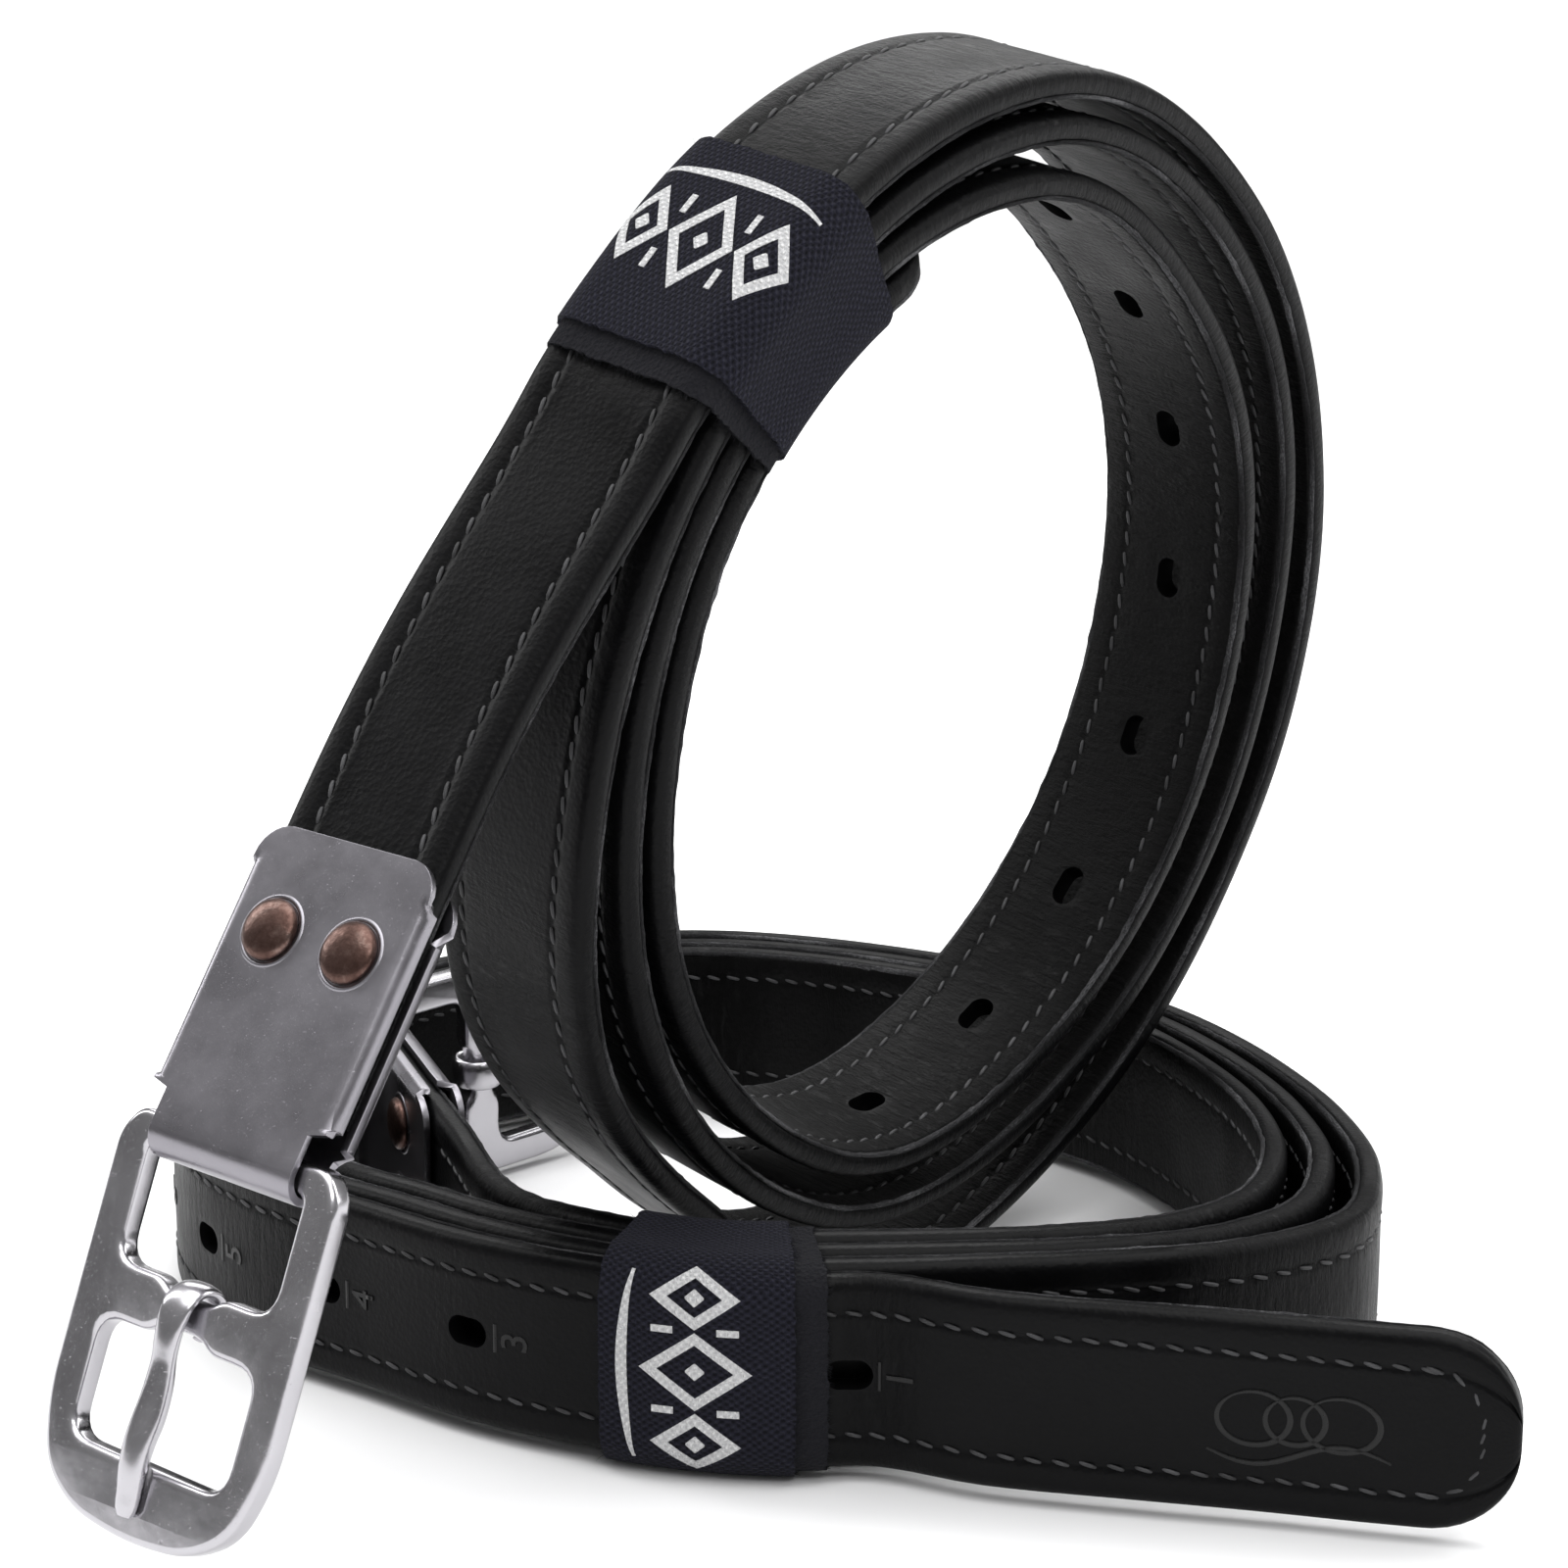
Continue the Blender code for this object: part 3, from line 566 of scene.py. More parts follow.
def half_width(d):
    """Half width of the strap near its rounded tip, as a share of the full half width."""
    k = np.clip(TIP_R - d, 0.0, TIP_R)
    return (HALF - TIP_R + np.sqrt(TIP_R**2 - k**2)) / HALF


def rows_of(strap):
    """Stations down the strap, close together at the tip and then even."""
    tip = [0.0, 0.12, 0.35, 0.7, 1.1, 1.6, 2.2, 3.0, 4.0, 5.2, 6.6, 8.2, 10.0]
    start, end = 11.5, strap.length - STRAP_STOP
    pitch = 1.5
    return np.r_[tip, np.linspace(start, end, int((end - start) / pitch))]


def mirrored(half):
    """Whole ring from its right half."""
    return np.array([(-a, b) for a, b in reversed(half[1:])] + half)


def skin_ring():
    """Outer face with sunk stitch lines and rolled edges, then back along the inside."""
    t, g = THICK / 2, STITCH_ROW
    half = [(0.0, t - 0.02), (2.5, t - 0.02), (5.0, t - 0.04), (g - 1.1, t - 0.06),
            (g - 0.62, t - 0.11), (g - 0.3, t - 0.26), (g, t - 0.32), (g + 0.3, t - 0.26),
            (g + 0.62, t - 0.1), (g + 1.2, t - 0.03), (10.1, t), (10.9, t - 0.03),
            (11.5, t - 0.16), (12.0, t - 0.42), (12.33, t - 0.8),
            (12.48, t - 1.25), (12.5, 0.0), (12.46, -0.55), (12.3, -1.0), (12.05, -1.22), (11.7, -1.25)]
    return mirrored(half)


def lining_ring():
    """Inner face with its own stitch grooves, short of the strap's edges."""
    t, g = THICK / 2, STITCH_ROW
    face = [(0.0, -t), (3.5, -t), (g - 1.0, -t), (g - 0.5, -t + 0.07), (g, -t + 0.2),
            (g + 0.5, -t + 0.07), (g + 1.0, -t), (11.4, -t + 0.02), (11.75, -t + 0.16),
            (11.85, -t + 0.4), (11.85, -0.98)]
    return mirrored(face)


def raw_ring():
    """Cut edge showing between the rolled skin and the lining."""
    t = THICK / 2
    return np.array([(11.6, -1.10), (12.0, -1.12), (12.24, -1.18), (12.36, -1.34), (12.34, -1.5),
                     (12.2, -1.66), (11.9, -t + 0.12), (11.6, -t + 0.16)])


def strap_mesh(name, strap, ring, seed, tip_gap=0.0, rough=0.0):
    """Sweep a ring down the strap, drawing it in at the tip and letting it waver a little."""
    d = rows_of(strap)
    d = d[d >= tip_gap]
    mid, wide, out, _ = strap.place(d)
    a, b = ring[:, 0], ring[:, 1]
    f = half_width(d)[:, None]
    lean = np.clip(d / 1.1, 0.0, 1.0)[:, None]
    thin = 0.55 + 0.45 * np.sqrt(1 - (1 - lean) ** 2)
    sway = waves(d, seed, 0.09, (37.0, 61.0, 113.0))[:, None]
    roll = waves(d, seed + 1, 0.08, (29.0, 47.0, 83.0))[:, None] * (a / HALF)[None, :] ** 3
    shrink = -0.10 * (np.abs(a) < 7.0)[None, :] * (0.5 + 0.5 * np.sin(d / 9.0 + seed))[:, None]
    across = a[None, :] * f + sway * np.clip(d / 20.0, 0, 1)[:, None]
    height = b[None, :] * thin + roll + np.sign(b)[None, :] * shrink * (np.abs(b) > 1.2)[None, :]
    if rough:
        height = height + np.random.default_rng(seed + 5).normal(0, rough, height.shape)
        across = across + np.random.default_rng(seed + 6).normal(0, rough, height.shape)
    points = mid[:, None] + across[..., None] * wide[:, None] + height[..., None] * out[:, None]
    flat = run_length(ring) + seed * 40.0
    mesh = grid(name, points, flat, d)
    bend = np.clip((np.abs(strap.curl(d)) - 1 / 110.0) * 60.0, 0.0, 1.0)
    inside = np.clip(strap.curl(d) * 60.0, 0.0, 1.0)
    value = bend * (0.55 + 0.45 * inside)
    vertex_value(mesh, "bend", np.repeat(value, len(ring)))
    outward(mesh)
    return mesh


def punch(ob, strap):
    """Cut the row of oval buckle holes."""
    sides, radius, half_flat, reach = 28, 1.95, 1.05, 3.2
    verts, faces = [], []
    for k in range(HOLE_COUNT):
        mid, wide, out, along = (v[0] for v in strap.place(HOLE_FIRST + HOLE_PITCH * k))
        ring = []
        for q in range(sides):
            t = 2 * math.pi * q / sides
            x = half_flat * math.copysign(1, math.cos(t)) + radius * math.cos(t)
            ring.append(mid + x * along + radius * math.sin(t) * wide)
        low = len(verts)
        high = low + sides
        verts += [p + z * out for z in (-reach, reach) for p in ring]
        for j in range(sides):
            after = (j + 1) % sides
            faces.append([low + j, low + after, high + after, high + j])
        faces += [list(range(high - 1, low - 1, -1)), list(range(high, high + sides))]
    mesh = mesh_from("punch", verts, faces)
    outward(mesh)
    cut(ob, in_scene("punch", mesh))


def bead(long, thick):
    """A little rounded stitch lying along X, sunk at both ends."""
    sides = 7
    rows = []
    for x, r, z in ((-0.5, 0.25, -0.55), (-0.42, 0.75, -0.2), (-0.2, 1.0, 0.05), (0.2, 1.0, 0.05),
                    (0.42, 0.75, -0.2), (0.5, 0.25, -0.55)):
        for k in range(sides):
            t = 2 * math.pi * k / sides
            rows.append((x * long, 0.5 * thick * r * math.cos(t),
                         thick * (0.5 * r * math.sin(t) + 0.5 * z)))
    n = len(rows) // sides
    faces = [(i * sides + j, i * sides + (j + 1) % sides, (i + 1) * sides + (j + 1) % sides,
              (i + 1) * sides + j) for i in range(n - 1) for j in range(sides)]
    faces += [tuple(range(sides - 1, -1, -1)), tuple(range((n - 1) * sides, n * sides))]
    return np.array(rows), faces


def stitches(name, strap, side, body):
    """Two rows of slanted stitches joined round the tip, on the outer (1) or inner (-1) face."""
    pitch, inset, g = 3.35, 4.5, STITCH_ROW
    r = TIP_R - inset
    places = []
    for sign in (1, -1):
        for d in np.arange(inset + r, strap.length - PLATE_LONG - 1.0, pitch):
            places.append((d, sign * g, 0.0 if sign > 0 else math.pi))
    quarter = 0.5 * math.pi * r
    for k in np.arange(0.6, quarter, pitch * 0.92):
        t = k / r
        for sign in (1, -1):
            places.append((inset + r - r * math.sin(t), sign * (g - r + r * math.cos(t)),
                           t if sign > 0 else math.pi - t))
    places.append((inset, 0.0, 0.5 * math.pi))
    verts, faces = bead(2.35, 0.56)
    places = np.array(places)
    d = places[:, 0] + rng.normal(0, 0.05, len(places))
    a = places[:, 1] + rng.normal(0, 0.05, len(places))
    t = places[:, 2] + side * 0.24 + rng.normal(0, 0.035, len(places))
    mid, wide, out, along = strap.place(d)
    x = np.cos(t)[:, None] * along + np.sin(t)[:, None] * wide
    y = -np.sin(t)[:, None] * along + np.cos(t)[:, None] * wide
    lift = side * (THICK / 2 - (0.24 if side > 0 else 0.16))
    base = mid + a[:, None] * wide + lift * out
    points = (base[:, None] + verts[None, :, :1] * x[:, None] + verts[None, :, 1:2] * y[:, None]
              + side * verts[None, :, 2:] * out[:, None]).reshape(-1, 3)
    n = len(verts)
    quads = [tuple(i + k * n for i in f) for k in range(len(places)) for f in faces]
    mesh = mesh_from(name, points, quads)
    outward(mesh)
    ob = new_object(name, mesh, "thread", body)
    return ob


def on_strap(strap, flat, faces, lift, name, body):
    """Lay stamped marks, given as (along, across, height) in millimetres, on the outer face."""
    flat = np.asarray(flat, float)
    mid, wide, out, _ = strap.place(flat[:, 0])
    points = mid + flat[:, 1:2] * wide + (THICK / 2 + lift + flat[:, 2:]) * out
    return new_object(name, mesh_from(name, points, faces), "stamp", body)


def numeral(text, size):
    """Corners and faces of a plain numeral, flat but for a thin raised edge."""
    curve = bpy.data.curves.new("numeral", "FONT")
    curve.body, curve.size = text, size
    curve.align_x, curve.align_y = "CENTER", "CENTER"
    curve.offset, curve.extrude, curve.bevel_depth, curve.bevel_resolution = 0.0, 0.05, 0.05, 1
    ob = in_scene("numeral", curve)
    mesh = evaluated(ob)
    verts = np.array([tuple(v.co) for v in mesh.vertices])
    faces = [tuple(p.vertices) for p in mesh.polygons]
    bpy.data.objects.remove(ob)
    bpy.data.curves.remove(curve)
    bpy.data.meshes.remove(mesh)
    return verts, faces


def numerals(tag, strap, body):
    """Stamped hole numbers, read across the strap, each with a short bar beside its hole."""
    size, before_hole, bar_after, bar_half = 5.4, 7.4, 3.1, 1.9
    verts, faces = [], []
    for k in range(HOLE_COUNT):
        v, f = numeral(str(k + 1), size)
        at = HOLE_FIRST + HOLE_PITCH * k - before_hole
        flat = np.stack([at + v[:, 1], v[:, 0], v[:, 2]], -1)
        faces += [tuple(i + len(verts) for i in face) for face in f]
        verts += flat.tolist()
        faces += [tuple(len(verts) + 2 * i + j for j in (0, 1, 3, 2)) for i in range(3)]
        for x, z in ((-0.28, -0.1), (-0.2, 0.06), (0.2, 0.06), (0.28, -0.1)):
            verts += [(at + bar_after + x, y, z) for y in (-bar_half, bar_half)]
    ob = on_strap(strap, verts, faces, -0.03, f"{tag}_hole_numbers", body)


def ribbon_path(p, width):
    """Low raised band along a flat path, narrowing to both ends."""
    side = left_of(p)
    k = np.linspace(0, 1, len(p))[:, None]
    w = width * (0.35 + 0.65 * np.sin(math.pi * np.clip(k, 0.02, 0.98)) ** 0.5)
    rows = [p - 0.5 * w * side, p - 0.25 * w * side, p + 0.25 * w * side, p + 0.5 * w * side]
    lift = [0.0, 0.07, 0.07, 0.0]
    verts = np.concatenate([np.c_[r, np.full(len(p), z)] for r, z in zip(rows, lift)])
    n = len(p)
    faces = [(r * n + i, r * n + i + 1, (r + 1) * n + i + 1, (r + 1) * n + i)
             for r in range(3) for i in range(n - 1)]
    return verts, faces


def tip_ornament(tag, strap, body):
    """Plain embossed knot of loops near the tip."""
    t = np.linspace(0, 1, 60)[:, None]
    paths = []
    for cx, rx, ry in ((21.0, 4.6, 3.4), (26.5, 3.6, 3.0), (31.5, 4.4, 3.4)):
        w = 2 * math.pi * (t + 0.15)
        paths.append(np.c_[cx + rx * np.cos(w), ry * np.sin(w)])
    paths.append(np.c_[15.0 + 22.0 * t, -4.3 + 1.5 * np.sin(2 * math.pi * t)])
    verts, faces = [], []
    for p in paths:
        v, f = ribbon_path(p, 0.75)
        faces += [tuple(i + len(verts) for i in face) for face in f]
        verts += v.tolist()
    ob = on_strap(strap, verts, faces, -0.04, f"{tag}_tip_ornament", body)


# ---- metal
def plate_mesh(name, end):
    """One folded sheet: rounded top corners, lips over the strap's edges, notched barrel."""
    r = FOLD_R
    corner, full, barrel = 4.2, 13.45, 11.0
    lip_start, lip_end, notch = 4.5, 31.5, 32.2
    front = np.r_[0.0, 0.12, 0.4, 0.85, 1.5, 2.3, 3.3, 4.4, 4.8, 5.2, 6.0, np.arange(8.0, 31.0, 3.0),
                  31.5, 31.75, 32.0, 32.2, 32.5, 32.8, 33.2, 34.2, 35.2, 36.0]
    rows = [(-PLATE_LONG + k, r) for k in front]
    rows += [(r * math.sin(a), r * math.cos(a)) for a in np.linspace(0.08, math.pi - 0.08, 18)]
    rows += [(-PLATE_LONG + k, -r) for k in front[::-1] if k > 1.4]
    rows = np.array(rows)
    normal = left_of(rows)
    down = rows[:, 0] + PLATE_LONG
    down = np.where(rows[:, 1] < 0, down - 1.5, down)
    down[rows[:, 0] > -1.0] = PLATE_LONG
    k = np.clip(corner - down, 0, corner)
    width = full - corner + np.sqrt(corner**2 - k**2)
    step = np.clip((down - notch) / 0.6, 0, 1)
    width = width * (1 - step) + barrel * step
    lip = np.clip((down - lip_start) / 0.5, 0, 1) * (1 - np.clip((down - lip_end) / 0.5, 0, 1))
    q = np.r_[-1.0, -0.985, np.linspace(-0.955, -0.72, 9), np.linspace(-0.6, 0.6, 7),
              np.linspace(0.72, 0.955, 9), 0.985, 1.0]
    flat, bend, past_bend = full - 1.35, 1.15, 0.75
    points = np.empty((len(rows), len(q), 3))
    for i, ((t, y), n) in enumerate(zip(rows, normal)):
        total = width[i] * (1 - lip[i]) + lip[i] * (flat + bend * math.pi / 2 + past_bend)
        x = q * total
        over = np.clip(np.abs(x) - flat, 0, None)
        a = np.clip(over / bend, 0, math.pi / 2)
        past = np.clip(over - bend * math.pi / 2, 0, None)
        bx = np.sign(x) * (np.minimum(np.abs(x), flat) + bend * np.sin(a))
        by = -(bend * (1 - np.cos(a)) + past)
        px = x * (1 - lip[i]) + bx * lip[i]
        py = by * lip[i]
        points[i] = end.at(px, t + py * n[0], y + py * n[1])
    return grid(name, points, q * 13.0, rows[:, 0], closed=False)


def plate_piece(tag, end, body):
    """The plate's sheet at its real thickness, with eased edges."""
    ob = new_object(f"{tag}_plate_steel", plate_mesh(f"{tag}_plate", end), "plate", body)
    thicken(ob, SHEET)
    mod = ob.modifiers.new("edge", "BEVEL")
    mod.width, mod.segments = 0.22 * MM, 2
    mod.limit_method, mod.angle_limit = "ANGLE", math.radians(50)
    bake(ob, 38)
    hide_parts(f"{tag}_buckle_plate")


def lathe(name, end, x, t, profile, mat, body):
    """Round piece standing on the plate at (x, t), turned from (radius, height) pairs."""
    sides = 40
    a = np.linspace(0, 2 * math.pi, sides, endpoint=False)
    rows = []
    for r, y in profile:
        rows.append(end.at(x + r * np.cos(a), t + r * np.sin(a), np.full(sides, y)))
    mesh = grid(name, np.array(rows), np.arange(sides) * 0.5, np.arange(len(rows)) * 0.5)
    outward(mesh)
    return new_object(name, mesh, mat, body, angle=50)


def rivet(tag, label, side, end, body):
    """Domed copper head, shank and set head, with a pressed ring in the plate round it."""
    face = FOLD_R + SHEET / 2
    x, t = side * RIVET_SIDE, RIVET_DOWN - PLATE_LONG
    dome = [(3.75 * math.sin(a), face + 0.35 + 1.35 * math.cos(a) ** 0.8) for a in
            np.linspace(0.03, 1.45, 12)]
    profile = dome + [(3.78, face + 0.4), (3.72, face + 0.12), (3.5, face + 0.02), (1.5, face - 0.1),
                      (1.5, -face + 0.1), (2.9, -face - 0.02), (3.1, -face - 0.15), (2.9, -face - 0.5),
                      (2.0, -face - 0.8), (0.1, -face - 0.9)]
    ob = lathe(f"{tag}_rivet_{label}_copper", end, x, t, profile, "copper", body)
    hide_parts(f"{tag}_rivet_{label}")
    ring = [(4.55 - 0.75 * k, face - 0.06 + 0.2 * math.sin(math.pi * k)) for k in np.linspace(0, 1, 9)]
    ring += [(3.8, face - 0.2), (4.55, face - 0.2)]
    seat = lathe(f"{tag}_rivet_{label}_seat", end, x, t, ring, "plate", body)


def rounded_poly(points, radius):
    """Closed polygon with every corner rounded by the radius given for it."""
    steps, out, n = 6, [], len(points)
    p = [np.array(q, float) for q in points]
    for i in range(n):
        a, b, c = p[i - 1], p[i], p[(i + 1) % n]
        u, v = a - b, c - b
        lu, lv = np.linalg.norm(u), np.linalg.norm(v)
        r = min(radius[i], 0.48 * lu, 0.48 * lv)
        s, e = b + u / lu * r, b + v / lv * r
        for k in range(steps + 1):
            t = k / steps
            out.append(tuple((1 - t) ** 2 * s + 2 * t * (1 - t) * b + t * t * e))
    return out


def frame_piece(tag, end, body):
    """Two-window buckle frame with rolled edges, a slim neck and a worn seat for the tongue."""
    h, far = 17.0, 44.5              # outer half width, and far end from the fold
    w, neck = 12.2, 3.4              # half widths of the windows and of the neck
    right = [(11.2, -1.75), (14.6, -1.9), (h, 1.4), (h, far - 12.0), (h - 2.4, far - 4.6),
             (9.0, far - 1.0)]
    left = [(-x, t) for x, t in reversed(right)]
    outline = rounded_poly(left[-1:] + right + [(0.0, far)] + left[:-1],
                           [1, 1, 3.0, 3.2, 8, 5, 6, 7, 6, 5, 8, 3.2, 3.0])
    upper = rounded_poly([(-w, 1.75), (w, 1.75), (w, 15.4), (neck + 1.6, 15.4), (neck - 0.4, 16.75),
                          (0.4 - neck, 16.75), (-neck - 1.6, 15.4), (-w, 15.4)],
                         [1.6, 1.6, 3.4, 1.2, 1.2, 1.2, 1.2, 3.4])
    lower = rounded_poly([(-w, 21.8), (-neck - 1.6, 21.8), (0.4 - neck, 20.45), (neck - 0.4, 20.45),
                          (neck + 1.6, 21.8), (w, 21.8), (w, 35.6), (-w, 35.6)],
                         [3.2, 1.2, 1.2, 1.2, 1.2, 3.2, 3.4, 3.4])
    curve = bpy.data.curves.new("frame", "CURVE")
    curve.dimensions, curve.fill_mode = "2D", "BOTH"
    thick, roll = 1.7, 0.95
    curve.extrude, curve.bevel_depth, curve.offset = (thick - roll) * MM, roll * MM, -roll * MM
    curve.bevel_resolution = 4
    for loop in (outline, upper, lower):
        spline = curve.splines.new("POLY")
        spline.points.add(len(loop) - 1)
        for point, (x, t) in zip(spline.points, loop):
            point.co = (x * MM, t * MM, 0.0, 1.0)
        spline.use_cyclic_u = True
    flat = in_scene("frame", curve)
    mesh = evaluated(flat)
    bpy.data.objects.remove(flat)
    mesh.transform(end.matrix())
    bm = bmesh.new()
    bm.from_mesh(mesh)
    bmesh.ops.remove_doubles(bm, verts=bm.verts, dist=1e-6)
    bmesh.ops.recalc_face_normals(bm, faces=bm.faces)
    bm.to_mesh(mesh)
    bm.free()
    mesh.materials.clear()
    ob = new_object(f"{tag}_frame_steel", mesh, "frame", body)
    sides, seat_height = 36, 3.95
    a = np.linspace(0, 2 * math.pi, sides, endpoint=False)
    rings = []
    for t, r in ((33.0, 2.9), (35.0, 3.0), (40.2, 3.0), (41.0, 2.7), (41.4, 1.6)):
        rings.append(end.at(r * np.cos(a), np.full(sides, t), seat_height + r * np.sin(a)))
    seat = grid("seat", np.array(rings), np.arange(sides), np.arange(len(rings)))
    outward(seat)
    cut(ob, in_scene("seat", seat))
    shade(ob.data, 30)
    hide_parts(f"{tag}_buckle_frame")


def tongue_piece(tag, end, body):
    """Bar curled round the neck, waisted, then a round shoulder down to the worn seat."""
    neck, r = 18.6, 3.15
    curl = [(neck - r * math.sin(a), r * math.cos(a)) for a in np.radians(np.arange(236, -1, -12.0))]
    path = smooth_curve(curl + [(21.4, 3.15), (24.0, 2.75), (27.0, 2.45), (30.0, 2.6), (33.0, 3.05),
                                (36.0, 3.0), (39.0, 2.45), (41.4, 2.3)], 3)
    s = run_length(path)
    normal = left_of(path, s)
    left = s[-1] - s
    half = np.interp(left, [0, 0.4, 1.4, 5, 11, 15, 18, 21, 24, 40],
                     [1.0, 1.35, 1.55, 1.8, 2.05, 1.85, 1.6, 1.85, 2.25, 2.3])
    thick = np.interp(left, [0, 0.4, 1.4, 6, 11, 15, 18, 21, 25, 40],
                      [0.7, 0.95, 1.1, 1.35, 1.5, 1.3, 1.0, 0.95, 0.8, 0.8])
    fade = np.clip(s / 0.8, 0.35, 1.0)
    sides = 28
    a = np.linspace(0, 2 * math.pi, sides, endpoint=False)
    sx = np.sign(np.cos(a)) * np.abs(np.cos(a)) ** 0.88
    sy = np.sign(np.sin(a)) * np.abs(np.sin(a)) ** 0.92
    rows = []
    for p, n, h, t, f in zip(path, normal, half, thick, fade):
        rows.append(end.at(h * f * sx, p[0] + t * f * sy * n[0], p[1] + t * f * sy * n[1]))
    mesh = grid(f"{tag}_tongue", np.array(rows), np.arange(sides) * 0.4, s)
    outward(mesh)
    ob = new_object(f"{tag}_tongue_steel", mesh, "frame", body, angle=50)
    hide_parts(f"{tag}_buckle_tongue")


# ---- woven bands
class Sleeve:
    """Rounded rectangle round the stacked turns: loop distance q, then angle along the coil."""

    CORNER_STEPS, ACROSS_STEPS, ROWS = 9, 24, 29

    def __init__(self, strap, span, off, corner):
        self.strap, self.span, self.off, self.corner = strap, span, off, corner
        self.angles = np.linspace(span[0], span[1], 9)
        reach = [strap.radii(a) for a in self.angles]
        self.low = np.array([r.min() for r in reach]) - THICK / 2 - off
        self.high = np.array([r.max() for r in reach]) + THICK / 2 + off
        step = 0.9
        self.wall = int(float(np.mean(self.high - self.low)) / step)

    def loop(self, low, high, sag):
        """Points (across, radius) and outward directions, starting at the middle of the inside."""
        w, c = HALF + self.off, self.corner
        line = []
        corners = ((w - c, high - c, 90, 0), (w - c, low + c, 0, -90),
                   (c - w, low + c, -90, -180), (c - w, high - c, 180, 90))
        for (x, y, a0, a1), count in zip(corners, (self.wall, self.ACROSS_STEPS) * 2):
            for a in np.radians(np.linspace(a0, a1, self.CORNER_STEPS)):
                line.append((x + c * math.cos(a), y + c * math.sin(a), math.cos(a), math.sin(a)))
            flat = abs(a1) % 180 == 0
            last = np.array(line[-1])
            run = (high - low - 2 * c) if flat else 2 * (w - c)
            step = np.array([last[3], -last[2]]) * run
            for k in range(1, count):
                t = k / count
                dip = sag * math.sin(math.pi * t) * (1.0 if flat else 0.4)
                line.append((*(last[:2] + t * step - dip * last[2:]), *last[2:]))
        start = 2 * self.CORNER_STEPS + self.wall - 1 + self.ACROSS_STEPS // 2
        line = np.roll(np.array(line), -start, axis=0)
        return line[:, :2], line[:, 2:]

    def surface(self, lift=0.0, sag=0.12):
        """Rows along the coil of loop points in the world, and the two flat coordinates."""
        u, v, w = self.strap.axes
        rows, arc = [], []
        for a in np.linspace(self.span[0], self.span[1], self.ROWS):
            low, high = np.interp(a, self.angles, self.low), np.interp(a, self.angles, self.high)
            p, n = self.loop(low, high, sag)
            ray = math.cos(math.radians(a)) * u + math.sin(math.radians(a)) * v
            p = p + lift * n
            rows.append(self.strap.centre + p[:, 1:2] * ray + p[:, :1] * w)
            arc.append(math.radians(abs(a - self.span[0])) * 0.5 * (low + high))
        rows = np.array(rows)
        return rows, run_length(rows[len(rows) // 2]), np.array(arc)


def frayed(rows, size, seed):
    """Let the two cut edges waver."""
    r = np.random.default_rng(seed)
    rows = rows.copy()
    for at, nxt in ((0, 1), (-1, -2)):
        step = unit(rows[at] - rows[nxt])
        rows[at] += r.normal(0, size, (rows.shape[1], 1)) * step
    return rows


def fibres(name, rows, mat, body, count, seed, long=(0.5, 1.4)):
    """Loose thread ends along both cut edges."""
    r = np.random.default_rng(seed)
    width, root, floor_gap = 0.055, 0.25, 0.08
    verts, faces = [], []
    for at, nxt in ((0, 1), (-1, -2)):
        for _ in range(count):
            j = int(r.integers(0, rows.shape[1]))
            t = r.random()
            here, beside = rows[at][j], rows[at][(j + 1) % rows.shape[1]]
            p = here * (1 - t) + beside * t
            away = here - rows[nxt][j]
            away /= np.linalg.norm(away)
            side = beside - here
            side /= max(np.linalg.norm(side), 1e-6)
            up = np.cross(away, side)
            size, bend = r.uniform(*long), r.normal(0, 0.35, 2)
            base = len(verts)
            for k in (0.0, 0.35, 0.7, 1.0):
                c = p + away * (size * k - root) + (bend[0] * side + bend[1] * up) * k * k * size
                w = width * (1 - 0.7 * k)
                verts += [c - w * side, c + w * up, c + w * side, c - w * up]
            if min(c[2] for c in verts[base:]) < floor_gap:
                del verts[base:]
                continue
            for low in (base, base + 4, base + 8):
                for m in range(4):
                    after = (m + 1) % 4
                    faces.append((low + m, low + after, low + 4 + after, low + 4 + m))
    mesh = mesh_from(name, verts, faces)
    mesh.uv_layers.new(name="strap")
    return new_object(name, mesh, mat, body)


def wrap(name, rows, q, arc, thick, mat, body):
    """Strip of cloth with its real thickness, closed round the turns and open at both edges."""
    mesh = grid(name, rows, q, arc, caps=False)
    outward(mesh)
    ob = new_object(name, mesh, mat, body)
    thicken(ob, thick)
    bake(ob, 50)
    return ob


def figure(name, sleeve, lift, shapes, body):
    """White woven figure in the middle of the band's outside; shapes are in (loop, coil) mm."""
    rows, q, arc = sleeve.surface(lift=lift)
    middle = 0.5 * (arc[0] + arc[-1])
    total = q[-1] + np.linalg.norm(rows[len(rows) // 2][0] - rows[len(rows) // 2][-1])
    closed_q = np.r_[q, total]
    closed = np.concatenate([rows, rows[:, :1]], axis=1)
    verts, faces, flat = [], [], []
    for loop in shapes:
        base = len(verts)
        for p in loop:
            x = (0.5 * total + p[0]) % total
            y = np.clip(middle + p[1], arc[0], arc[-1])
            row = np.interp(y, arc, np.arange(len(arc)))
            i = min(int(row), len(arc) - 2)
            f = row - i
            line = closed[i] * (1 - f) + closed[i + 1] * f
            verts.append([np.interp(x, closed_q, line[:, k]) for k in range(3)])
            flat.append((x, y))
        faces += [(k, k + 1, k + 3, k + 2) for k in range(base, len(verts) - 2, 2)]
    mesh = mesh_from(name, verts, faces)
    flat_map(mesh, flat)
    ob = new_object(name, mesh, "white", body)
    thicken(ob, 0.12)
    bake(ob, 60)
    return ob


def stroke(p, width):
    """Zigzag strip of points along a path, two per station."""
    side = left_of(p)
    w = np.broadcast_to(np.asarray(width, float), (len(p),))[:, None]
    return np.stack([p - 0.5 * w * side, p + 0.5 * w * side], 1).reshape(-1, 2)


